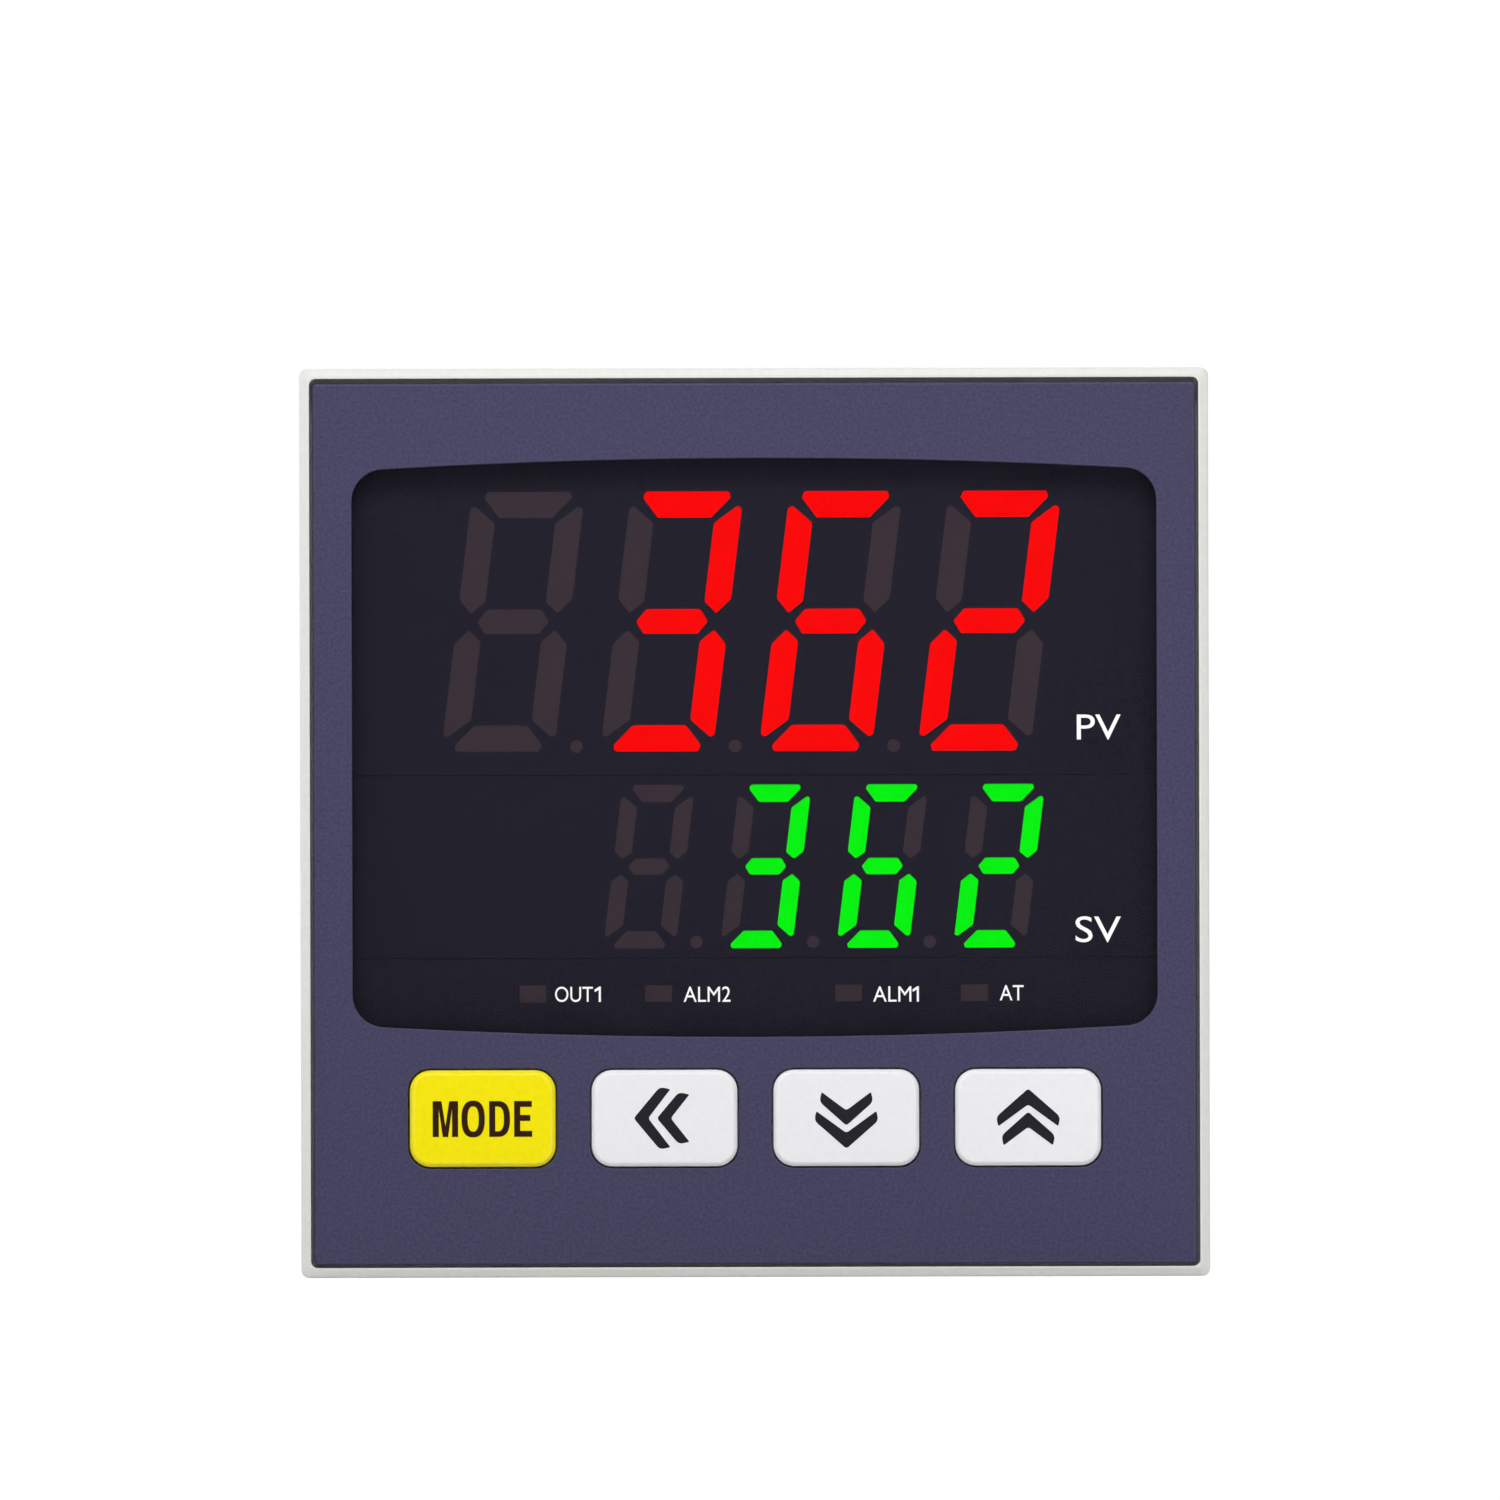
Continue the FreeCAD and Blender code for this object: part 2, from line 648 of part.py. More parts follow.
def control_chip():
    """The controller's chip on the back of the front board."""
    half = CHIP_SIDE / 2
    return box((-half, half), (BOARD_BACK, BOARD_BACK + CHIP_HEIGHT), (CHIP_LEVEL - half, CHIP_LEVEL + half))


# Side circuit boards and what they carry


def side_board():
    """The right-hand board, from its front socket to just short of the housing's step."""
    half = CASE_INNER - SIDE_BOARD_WALL_GAP
    y = (SIDE_BOARD_FRONT, STEP_INNER - SIDE_BOARD_END_GAP)
    return box((BOARD_INNER_FACE, BOARD_OUTER_FACE), y, (-half, half))


def board_socket():
    """The right-hand card-edge socket on the front board."""
    half = SOCKET_WIDTH / 2
    length = (-SOCKET_HALF_LENGTH, SOCKET_HALF_LENGTH)
    body = box((SIDE_BOARD_X - half, SIDE_BOARD_X + half), (BOARD_BACK, BOARD_BACK + SOCKET_DEPTH), length)
    slot_x = (BOARD_INNER_FACE - SOCKET_GAP, BOARD_OUTER_FACE + SOCKET_GAP)
    return body.cut(box(slot_x, (SIDE_BOARD_FRONT, BOARD_BACK + SOCKET_DEPTH + CUT_MARGIN), length))


def above_power_board(height, y, z):
    """A block standing on the left-hand board, placed by its height range above the board."""
    return box((height[0] - BOARD_INNER_FACE, height[1] - BOARD_INNER_FACE), y, z)


def around_transformer(half_depth, half_width):
    """The Y and Z ranges of a block about the transformer's axis."""
    y = (TRANSFORMER_Y - half_depth, TRANSFORMER_Y + half_depth)
    z = (TRANSFORMER_Z - half_width, TRANSFORMER_Z + half_width)
    return y, z


def transformer_core():
    """A ferrite core with three legs between two yokes."""
    height = (CORE_LIFT, CORE_LIFT + CORE_LENGTH)
    block = above_power_board(height, *around_transformer(CORE_DEPTH / 2, CORE_WIDTH / 2))
    gap = (height[0] + CORE_YOKE, height[1] - CORE_YOKE)
    near = CENTRE_LEG / 2
    far = CORE_WIDTH / 2 - OUTER_LEG
    y = (TRANSFORMER_Y - CORE_DEPTH, TRANSFORMER_Y + CORE_DEPTH)
    windows = [
        above_power_board(gap, y, (TRANSFORMER_Z + near, TRANSFORMER_Z + far)),
        above_power_board(gap, y, (TRANSFORMER_Z - far, TRANSFORMER_Z - near)),
    ]
    return block.cut(windows)


def bobbin_span():
    """The height range between the core's yokes."""
    return CORE_LIFT + CORE_YOKE, CORE_LIFT + CORE_LENGTH - CORE_YOKE


def transformer_bobbin():
    """The coil former: a tube on the centre leg, two flanges and two feet on the board."""
    low, high = bobbin_span()
    leg_y = CORE_DEPTH / 2
    leg_z = CENTRE_LEG / 2
    reach_z = CORE_WIDTH / 2 - OUTER_LEG
    reach_y = leg_y + BOBBIN_WALL + WINDING_THICKNESS
    tube = above_power_board((low, high), *around_transformer(leg_y + BOBBIN_WALL, leg_z + BOBBIN_WALL / 2))
    lower = above_power_board((low, low + BOBBIN_WALL), *around_transformer(reach_y, reach_z))
    upper = above_power_board((high - BOBBIN_WALL, high), *around_transformer(reach_y, reach_z))
    z = (TRANSFORMER_Z - reach_z, TRANSFORMER_Z + reach_z)
    foot_starts = (TRANSFORMER_Y - reach_y, TRANSFORMER_Y + reach_y - BOBBIN_FOOT)
    feet = [
        above_power_board((0, low + BOBBIN_WALL), (start, start + BOBBIN_FOOT), z) for start in foot_starts
    ]
    centre = above_power_board((low, high), *around_transformer(leg_y, leg_z))
    return fuse([tube, lower, upper] + feet).cut(centre)


def transformer_winding():
    """The wound copper between the bobbin's flanges."""
    low, high = bobbin_span()
    height = (low + BOBBIN_WALL, high - BOBBIN_WALL)
    inner_y = CORE_DEPTH / 2 + BOBBIN_WALL
    inner_z = CENTRE_LEG / 2 + BOBBIN_WALL / 2
    outer_y = inner_y + WINDING_THICKNESS - WINDING_MARGIN
    outer_z = CORE_WIDTH / 2 - OUTER_LEG - WINDING_MARGIN
    outer = above_power_board(height, *around_transformer(outer_y, outer_z))
    return outer.cut(above_power_board(height, *around_transformer(inner_y, inner_z)))


def filter_capacitor(level):
    """A can capacitor standing on the left-hand board."""
    base = V(-BOARD_INNER_FACE, CAPACITOR_Y, level)
    return Part.makeCylinder(CAPACITOR_RADIUS, CAPACITOR_LENGTH, base, V(1, 0, 0))


def relay(level):
    """A relay standing on the right-hand board."""
    height, depth, width = RELAY_SIZE
    x = (BOARD_INNER_FACE - height, BOARD_INNER_FACE)
    case = box(x, (RELAY_Y - depth / 2, RELAY_Y + depth / 2), (level - width / 2, level + width / 2))
    top = [edge for edge in case.Edges if abs(edge.BoundBox.XMax - x[0]) < SAME_PLACE]
    return case.makeChamfer(RELAY_BEVEL, top)


# Terminal blocks


def terminal_block():
    """The right-hand barrier block: a base, a spine beside the hump, and walls between the terminals."""
    half = TERMINAL_COUNT * TERMINAL_PITCH / 2 + BARRIER / 2
    back = STEP_DEPTH + BLOCK_DEPTH
    base = box((BLOCK_INNER, BLOCK_OUTER), (STEP_DEPTH, CONTACT_SEAT), (-half, half))
    spine = box((BLOCK_INNER, BLOCK_INNER + BLOCK_SPINE), (STEP_DEPTH, back), (-half, half))
    plug_x = (BOARD_OUTER_FACE - BLOCK_PLUG_WIDTH / 2, BOARD_OUTER_FACE + BLOCK_PLUG_WIDTH / 2)
    plug = box(plug_x, (STEP_INNER, STEP_DEPTH), (-PLUG_HALF_LENGTH, PLUG_HALF_LENGTH))
    walls = [
        box((BLOCK_INNER, BLOCK_OUTER), (STEP_DEPTH, back), (z - BARRIER / 2, z + BARRIER / 2))
        for z in [level - TERMINAL_PITCH / 2 for level in terminal_levels()] + [half - BARRIER / 2]
    ]
    cuts = []
    for level in terminal_levels():
        hole = SCREW_RADIUS + SCREW_HOLE_GAP
        hole_y = (HEAD_SEAT - SCREW_LENGTH - SCREW_END_GAP, CONTACT_SEAT + CUT_MARGIN)
        cuts.append(box((SCREW_X - hole, SCREW_X + hole), hole_y, (level - hole, level + hole)))
        tail_x = (BOARD_OUTER_FACE, BOARD_OUTER_FACE + TAIL_THICKNESS + TAIL_GAP)
        tail_z = (level - TAIL_WIDTH / 2 - TAIL_GAP, level + TAIL_WIDTH / 2 + TAIL_GAP)
        cuts.append(box(tail_x, past(STEP_INNER, CONTACT_SEAT), tail_z))
    return fuse([base, spine, plug] + walls).cut(cuts)


def screw_hole(level, gap, y):
    """The outline of a right-hand screw's shank, grown by a gap and carried along Y."""
    return many_sided(SCREW_X, level, SCREW_RADIUS + gap, SCREW_SHANK_SIDES, y)


def terminal_contact(level):
    """A right-hand contact: a threaded plate with a tail that runs forward along the board."""
    half = (TERMINAL_PITCH - BARRIER) / 2 - CONTACT_SIDE_GAP
    plate = box((CONTACT_INNER, CONTACT_OUTER), (CONTACT_SEAT, WASHER_SEAT), (level - half, level + half))
    tail_x = (BOARD_OUTER_FACE, BOARD_OUTER_FACE + TAIL_THICKNESS)
    tail_y = (STEP_INNER - SIDE_BOARD_END_GAP - TAIL_ON_BOARD, CONTACT_SEAT)
    tail = box(tail_x, tail_y, (level - TAIL_WIDTH / 2, level + TAIL_WIDTH / 2))
    thread = screw_hole(level, THREAD_GAP, past(CONTACT_SEAT, WASHER_SEAT))
    return fuse([plate, tail]).cut(thread)


def terminal_washer(level):
    """A right-hand square wire washer."""
    half = WASHER_SIDE / 2
    plate = box((SCREW_X - half, SCREW_X + half), (WASHER_SEAT, HEAD_SEAT), (level - half, level + half))
    return plate.cut(screw_hole(level, SCREW_HOLE_GAP, past(WASHER_SEAT, HEAD_SEAT)))


def terminal_screw(level):
    """A right-hand screw with a broad head."""
    head_y = (HEAD_SEAT, HEAD_SEAT + SCREW_HEAD_HEIGHT)
    head = many_sided(SCREW_X, level, SCREW_HEAD_RADIUS, SCREW_HEAD_SIDES, head_y)
    shank_y = (HEAD_SEAT - SCREW_LENGTH, HEAD_SEAT)
    return fuse([head, many_sided(SCREW_X, level, SCREW_RADIUS, SCREW_SHANK_SIDES, shank_y)])


def both_columns(make):
    """One piece for each terminal in the right-hand and left-hand columns."""
    right = [make(level) for level in terminal_levels()]
    return right + [mirror_left(shape) for shape in right]


# Rear housing


def board_groove():
    """The upper right pair of ribs that guides a side board."""
    y = (GROOVE_START, STEP_INNER)
    z = (CASE_INNER - GROOVE_DEPTH, CASE_INNER)
    near = BOARD_INNER_FACE - GROOVE_GAP
    far = BOARD_OUTER_FACE + GROOVE_GAP
    return [box((near - GROOVE_RIB, near), y, z), box((far, far + GROOVE_RIB), y, z)]


def channel_cuts():
    """The right-hand clamp channel: an undercut slot with a narrower mouth and a row of ratchet teeth."""
    y = (CHANNEL_START, STEP_DEPTH + CUT_MARGIN)
    slot = box((CHANNEL_BED, CASE_HALF - LIP_THICKNESS), y, (-CHANNEL_HALF_WIDTH, CHANNEL_HALF_WIDTH))
    mouth = box((CHANNEL_BED, CASE_HALF + CUT_MARGIN), y, (-CHANNEL_MOUTH_HALF, CHANNEL_MOUTH_HALF))
    teeth = []
    count = int((STEP_DEPTH - TOOTH_END_GAP - TOOTH_START) / TOOTH_PITCH)
    for number in range(count):
        start = TOOTH_START + number * TOOTH_PITCH
        end = start + TOOTH_SLOPE
        outline = [
            (CHANNEL_BED + CUT_MARGIN, start),
            (CHANNEL_BED - TOOTH_DEPTH, start),
            (CHANNEL_BED, end),
            (CHANNEL_BED + CUT_MARGIN, end),
        ]
        teeth.append(profile_along_z(outline, (-TOOTH_HALF_WIDTH, TOOTH_HALF_WIDTH)))
    return [slot, mouth] + teeth


def vent_cuts():
    """The vent slots through the housing's top, bottom and back."""
    cuts = []
    for number in range(VENT_COUNT):
        x = (number - (VENT_COUNT - 1) / 2) * VENT_PITCH
        for start in VENT_ROWS:
            across = (x - VENT_WIDTH / 2, x + VENT_WIDTH / 2)
            upper = box(across, (start, start + VENT_LENGTH), past(CASE_INNER, CASE_HALF))
            cuts += [upper, mirror_down(upper)]
    for number in range(BACK_VENT_COUNT):
        z = (number - (BACK_VENT_COUNT - 1) / 2) * BACK_VENT_PITCH
        back = past(CASE_DEPTH - CASE_WALL, CASE_DEPTH)
        half = BACK_VENT_LENGTH / 2
        cuts.append(box((-half, half), back, (z - VENT_WIDTH / 2, z + VENT_WIDTH / 2)))
    return cuts


def rear_housing():
    """The deep case: a square box, a hump between the terminal columns, clamp channels, vents and grooves."""
    front = square(CASE_HALF, (CASE_FRONT, STEP_DEPTH), CASE_CORNER)
    hump_x = (-HUMP_HALF_WIDTH, HUMP_HALF_WIDTH)
    hump = slab(hump_x, (STEP_INNER, CASE_DEPTH), (-CASE_HALF, CASE_HALF), CASE_CORNER)
    bed_outer = CHANNEL_BED - CHANNEL_FLOOR
    inner = (-CASE_INNER, CASE_INNER)
    hollow = box(inner, (CASE_FRONT - CUT_MARGIN, STEP_INNER), inner)
    hump_inner = HUMP_HALF_WIDTH - CASE_WALL
    hump_y = (STEP_INNER - CUT_MARGIN, CASE_DEPTH - CASE_WALL)
    hump_hollow = box((-hump_inner, hump_inner), hump_y, inner)
    shell = fuse([front, hump]).cut([hollow, hump_hollow])

    bed_half = CHANNEL_HALF_WIDTH + CHANNEL_FLOOR
    bed_y = (CHANNEL_START - CHANNEL_END_WALL, STEP_INNER)
    channel_wall = box((bed_outer, CASE_INNER), bed_y, (-bed_half, bed_half))
    upper = board_groove()
    right = [channel_wall] + upper + [mirror_down(rib) for rib in upper]
    shell = fuse([shell] + right + [mirror_left(shape) for shape in right])

    plug_x = (
        BOARD_OUTER_FACE - BLOCK_PLUG_WIDTH / 2 - BLOCK_PLUG_GAP,
        BOARD_OUTER_FACE + BLOCK_PLUG_WIDTH / 2 + BLOCK_PLUG_GAP,
    )
    plug_half = PLUG_HALF_LENGTH + BLOCK_PLUG_GAP
    plug_slot = box(plug_x, past(STEP_INNER, STEP_DEPTH), (-plug_half, plug_half))
    hook_slot = box(
        (TONGUE_X - TONGUE_WIDTH / 2 - HOOK_CLEARANCE, TONGUE_X + TONGUE_WIDTH / 2 + HOOK_CLEARANCE),
        (HOOK_START - HOOK_CLEARANCE, TONGUE_END + HOOK_CLEARANCE),
        past(CASE_INNER, CASE_HALF),
    )
    right_cuts = channel_cuts() + [plug_slot, hook_slot, mirror_down(hook_slot)]
    return shell.cut(right_cuts + [mirror_left(shape) for shape in right_cuts] + vent_cuts())


# Panel clamps


def panel_clamp():
    """The right-hand clamp: a runner in the channel, a foot that bears on the panel, and a ratchet pawl."""
    bed = CHANNEL_BED + CLAMP_CLEARANCE
    lip = CASE_HALF - LIP_THICKNESS - CLAMP_CLEARANCE
    skin = CASE_HALF + CLAMP_CLEARANCE
    top = CASE_HALF + CLAMP_HEIGHT
    edge = FRONT_HALF - CLAMP_RIM_INSET
    start = CLAMP_PANEL_GAP + CLAMP_NOSE_LENGTH
    end = start + CLAMP_LENGTH
    wide = CHANNEL_HALF_WIDTH - CLAMP_CLEARANCE
    narrow = CHANNEL_MOUTH_HALF - CLAMP_CLEARANCE
    foot_back = CLAMP_PANEL_GAP + CLAMP_FOOT_LENGTH
    runner = box((bed, lip), (start, end), (-wide, wide))
    body = box((bed, top), (start, end), (-narrow, narrow))
    nose = box((skin, top), (CLAMP_PANEL_GAP, start), (-narrow, narrow))
    foot = box((skin, edge), (CLAMP_PANEL_GAP, foot_back), (-CLAMP_FOOT_HALF_WIDTH, CLAMP_FOOT_HALF_WIDTH))
    tab = box((top, edge), (end - CLAMP_TAB, end), (-narrow, narrow))
    rib_outline = [(top, foot_back), (edge, foot_back), (top, foot_back + CLAMP_RIB_LENGTH)]
    ribs = [
        profile_along_z(rib_outline, (z - CLAMP_RIB / 2, z + CLAMP_RIB / 2))
        for z in (CLAMP_RIB - narrow, 0, narrow - CLAMP_RIB)
    ]
    blank = fuse([runner, body, nose, foot, tab] + ribs)

    pawl_start = start + PAWL_SETBACK
    pawl_end = pawl_start + PAWL_LENGTH
    slit_half = PAWL_HALF_WIDTH + PAWL_SLIT
    well = box((bed - CUT_MARGIN, edge), (pawl_start, pawl_end), (-slit_half, slit_half))
    strip = box(
        (top - PAWL_THICKNESS, top), (pawl_start + PAWL_SLIT, pawl_end), (-PAWL_HALF_WIDTH, PAWL_HALF_WIDTH)
    )
    crest = CHANNEL_BED + PAWL_CREST_GAP
    tooth_outline = [
        (top - PAWL_THICKNESS, pawl_start + PAWL_SLIT),
        (crest, pawl_start + PAWL_SLIT),
        (top - PAWL_THICKNESS, pawl_start + PAWL_SLIT + TOOTH_PITCH),
    ]
    tooth = profile_along_z(tooth_outline, (-PAWL_HALF_WIDTH, PAWL_HALF_WIDTH))
    return fuse([blank.cut(well), strip, tooth])


def save(name, shape):
    """Writes one node, a single solid or a group of separate solids."""
    whole = Part.makeCompound(shape) if isinstance(shape, list) else shape
    solids = whole.Solids
    if not whole.isValid() or not solids:
        raise ValueError(name + " is not a sound solid")
    kept = solids[0] if len(solids) == 1 else Part.makeCompound(solids)
    kept.exportStep("parts/" + name + ".step")
    print(name, len(solids), round(sum(solid.Volume for solid in solids), 2))


def main():
    """Builds every piece and writes it."""
    os.makedirs("parts", exist_ok=True)

    save("front_bezel", front_bezel())
    save("face_plate", face_plate())
    save("display_window", display_window())
    for name, x in zip(KEY_NAMES, key_centres()):
        save(name + "_key", key_cap(x))
        save(name + "_plunger", plunger(x))
    save("switch_bodies", [switch_body(x) for x in key_centres()])

    lit, dark = display(PV_DIGIT, PV_POINT, PV_FIRST_X, PV_PITCH, PV_LEVEL)
    save("pv_lit_segments", lit)
    save("pv_dark_segments", dark)
    save("pv_display_case", display_case((PV_CASE_FOOT, DISPLAY_TOP), lit + dark))
    lit, dark = display(SV_DIGIT, SV_POINT, SV_FIRST_X, SV_PITCH, SV_LEVEL)
    save("sv_lit_segments", lit)
    save("sv_dark_segments", dark)
    save("sv_display_case", display_case((SV_CASE_FOOT, SV_CASE_TOP), lit + dark))
    save("indicator_holder", indicator_holder())
    save("indicator_lenses", indicator_blocks((MODULE_FRONT, BOARD_FRONT)))

    save("display_board", display_board())
    save("control_chip", control_chip())
    save("board_sockets", [board_socket(), mirror_left(board_socket())])
    save("power_board", mirror_left(side_board()))
    save("output_board", side_board())
    save("transformer_core", transformer_core())
    save("transformer_bobbin", transformer_bobbin())
    save("transformer_winding", transformer_winding())
    save("filter_capacitors", [filter_capacitor(level) for level in CAPACITOR_Z])
    save("output_relays", [relay(level) for level in RELAY_Z])

    save("rear_housing", rear_housing())
    save("terminal_block_right", terminal_block())
    save("terminal_block_left", mirror_left(terminal_block()))
    save("terminal_contacts", both_columns(terminal_contact))
    save("terminal_washers", both_columns(terminal_washer))
    save("terminal_screws", both_columns(terminal_screw))
    save("clamp_right", panel_clamp())
    save("clamp_left", mirror_left(panel_clamp()))


main()
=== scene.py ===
"""Looks of a panel-mounted temperature controller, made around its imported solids.

The front looks along -Y, +X is to the right seen from the front, and +Z is up. All places are in metres.
"""

import contextlib
import math

import bmesh
import bpy
import numpy as np
from bpy.props import FloatProperty, FloatVectorProperty, IntProperty, PointerProperty
from mathutils import Matrix, Vector


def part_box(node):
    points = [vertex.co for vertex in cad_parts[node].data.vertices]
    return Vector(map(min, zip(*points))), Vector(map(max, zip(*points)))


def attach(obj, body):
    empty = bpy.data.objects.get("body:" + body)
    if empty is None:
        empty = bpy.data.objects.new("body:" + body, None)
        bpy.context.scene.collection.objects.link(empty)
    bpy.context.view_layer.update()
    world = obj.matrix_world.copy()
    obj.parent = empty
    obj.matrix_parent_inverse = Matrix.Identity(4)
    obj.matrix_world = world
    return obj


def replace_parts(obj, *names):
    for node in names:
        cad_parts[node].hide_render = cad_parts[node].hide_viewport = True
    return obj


bl_info = {
    "name": "Temperature controller looks",
    "version": (1, 0, 0),
    "blender": (4, 5, 0),
    "location": "3D View > Sidebar > Controller",
    "description": "Makes the visible pieces and finishes of a panel-mounted temperature controller",
    "category": "Object",
}

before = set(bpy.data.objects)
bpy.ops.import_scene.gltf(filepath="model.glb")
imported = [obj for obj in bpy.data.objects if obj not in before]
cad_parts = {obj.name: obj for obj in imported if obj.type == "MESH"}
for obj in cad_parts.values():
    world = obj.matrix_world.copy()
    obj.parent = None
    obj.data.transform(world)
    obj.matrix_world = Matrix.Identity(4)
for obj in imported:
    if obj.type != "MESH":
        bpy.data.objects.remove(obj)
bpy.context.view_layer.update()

MM = 0.001
CONTROLLER = "controller"

# Keys from left to right, with the bodies that they are
KEYS = {"mode": "mode_button", "shift": "shift_button", "down": "down_button", "up": "up_button"}

# Planes along Y and half widths that the solids share
RIM_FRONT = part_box("front_bezel")[0].y
PLATE_FRONT = -5.6 * MM
PLATE_BACK = -3.2 * MM
CASE_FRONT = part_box("rear_housing")[0].y
LENS_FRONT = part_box("display_window")[0].y
KEY_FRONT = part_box("mode_key")[0].y
FRONT_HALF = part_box("front_bezel")[1].x
FLOOR_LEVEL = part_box("front_bezel")[0].z
HEAD_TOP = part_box("terminal_screws")[1].y
SHANK_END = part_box("terminal_screws")[0].y

# Angles between two faces: above the first their shared edge is rounded, above the second it stays a crease,
# and under the third the two are one flat
EDGE_ANGLE = math.radians(30)
CREASE_ANGLE = math.radians(50)
FLAT_ANGLE = math.radians(0.1)

# Turn under which one edge goes on from another in a chain, and the shortest rounded chain, in roundings
CHAIN_TURN = math.radians(25)
SHORTEST_CHAIN = 2.2

# Share of an edge's length that it runs along Y where it counts as lying along Y
ALONG_Y = 0.9

# Distances under which two points of a solid, a word or a turned surface are one
SOLID_MERGE = 0.002 * MM
WORD_MERGE = 0.0005 * MM
POLE_MERGE = 0.001 * MM

EDGE_MARK = "edge"


def linear(red, green, blue):
    """A colour in linear light from the eight-bit values that a screen shows."""
    shares = np.array((red, green, blue)) / 255
    return tuple(np.where(shares <= 0.04045, shares / 12.92, ((shares + 0.055) / 1.055) ** 2.4))


def length(name, description, millimetres):
    """A length that a user may change."""
    return FloatProperty(name=name, description=description, default=millimetres * MM, unit="LENGTH")


def colour(name, description, red, green, blue):
    """A colour that a user may change."""
    return FloatVectorProperty(
        name=name,
        description=description,
        default=linear(red, green, blue),
        subtype="COLOR",
        size=3,
        min=0.0,
        max=1.0,
    )


class ControllerSizes(bpy.types.PropertyGroup):
    """Sizes of the details that the solids leave plain."""

    rim_width: length("Rim width", "Width of the bezel's front face", 1.05)
    rim_lip: length("Rim lip", "Width of the flat lip along the rim's inside", 0.23)
    rim_fall: length("Rim fall", "Depth by which the rim slopes back to its outside", 0.36)
    plate_edge: length("Plate edge", "Rounding of the face plate's openings", 0.12)
    key_edge: length("Key edge", "Rounding of the keys' bevelled fronts", 0.13)
    print_depth: length("Print thickness", "Thickness of the printed marks", 0.02)
    chevron_shoulder: length("Chevron shoulder", "Rounding of the chevrons' outer corners", 0.5)
    chevron_tip: length("Chevron tip", "Rounding of the chevrons' tips and notches", 0.32)
    upper_segment_round: length("Upper segment rounding", "Corner radius of the large segments", 0.25)
    lower_segment_round: length("Lower segment rounding", "Corner radius of the small segments", 0.17)
    housing_edge: length("Housing edge", "Rounding of the housing's edges", 0.15)
    block_edge: length("Block edge", "Rounding of the terminal blocks' edges", 0.2)
    recess_half_width: length("Recess half width", "Half the width of the screws' cross recess", 0.45)
    recess_half_length: length("Recess half length", "Half the length of the screws' cross recess", 1.6)
    recess_depth: length("Recess depth", "Depth of the screws' cross recess", 1.1)
    corner_steps: IntProperty(
        name="Corner steps", description="Faces along each round corner", default=6, min=2
    )


class ControllerColours(bpy.types.PropertyGroup):
    """Colours of the finishes."""

    bezel: colour("Bezel", "Light grey moulded frame", 217, 218, 214)
    plate: colour("Plate", "Dark blue-grey moulded plate", 68, 65, 95)
    window: colour("Window", "Smoked pane", 4, 4, 6)
    yellow_key: colour("Yellow key", "Yellow key cap", 249, 233, 0)
    white_key: colour("White key", "White key caps", 238, 238, 241)
    warm_print: colour("Warm print", "Dark brown lettering on the yellow key", 45, 20, 2)
    cool_print: colour("Cool print", "Near-black marks on the white keys", 31, 30, 39)
    label_print: colour("Label print", "White labels on the window", 250, 250, 250)
    red_light: colour("Red light", "Lit segments of the upper display", 255, 0, 0)
    green_light: colour("Green light", "Lit segments of the lower display", 0, 240, 8)
    unlit_segment: colour("Unlit segment", "Milky grey of the segments that are off", 137, 115, 131)
    module: colour("Display case", "Dark grey face of the display modules", 85, 81, 104)
    housing: colour("Housing", "Black spark-eroded case plastic", 26, 26, 28)
    terminal: colour("Terminal block", "Black block plastic", 20, 20, 22)
    steel: colour("Steel", "Nickel-plated screws and washers", 200, 197, 190)
    brass: colour("Contact metal", "Tinned brass contacts", 205, 190, 150)
    board: colour("Circuit board", "Green solder resist", 22, 74, 46)
    dark_part: colour("Dark component", "Black moulded component", 24, 24, 26)
    white_part: colour("Pale component", "White moulded component", 214, 212, 204)
    ferrite: colour("Ferrite", "Dark sintered core", 52, 50, 50)
    copper: colour("Copper", "Enamelled copper wire", 190, 96, 52)
    sleeve: colour("Capacitor sleeve", "Blue plastic sleeve", 26, 46, 112)
    floor: colour("Floor", "Pale table top", 244, 244, 244)


def sizes():
    """The sizes that the user may change."""
    return bpy.context.scene.controller_sizes


def colours():
    """The colours that the user may change."""
    return bpy.context.scene.controller_colours


# Meshes


def give(piece, material):
    """Gives a piece or a solid one material all over."""
    if piece.material_slots:
        for place in piece.material_slots:
            place.material = material
    else:
        piece.data.materials.append(material)
    return piece


def new_piece(name, mesh, body, material):
    """Puts a finished mesh into the scene as a piece that rides on a body."""
    piece = bpy.data.objects.new(name, mesh)
    bpy.context.scene.collection.objects.link(piece)
    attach(piece, body)
    return give(piece, material)


def stand_in(node, name, mesh, material):
    """A new piece that stands for a solid of the controller's own body."""
    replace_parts(new_piece(name, mesh, CONTROLLER, material), node)


def box_of(node):
    """A solid's lowest and highest corners as arrays."""
    return [np.array(corner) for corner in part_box(node)]


@contextlib.contextmanager
def reshaped(mesh):
    """A mesh's editable form, which is written back to the mesh where the block ends."""
    shape = bmesh.new()
    shape.from_mesh(mesh)
    yield shape
    shape.to_mesh(mesh)
    shape.free()


def mark_highlit_faces(mesh, shares):
    """Keeps how much each face takes the edge lightening, which on the bezel's lip is a painted highlight."""
    mark = mesh.attributes.new(EDGE_MARK, "FLOAT", "FACE")
    mark.data.foreach_set("value", shares.astype(np.float32).ravel())


def creased(mesh):
    """Smooth shading that stops at sharp edges."""
    mesh.shade_smooth()
    mesh.set_sharp_from_angle(angle=CREASE_ANGLE)
    return mesh


def mesh_from(name, points, faces):
    """A mesh from an array of points and a list of corner rows."""
    mesh = bpy.data.meshes.new(name)
    mesh.from_pydata(points.reshape(-1, 3).tolist(), [], faces)
    mesh.validate()
    return creased(mesh)


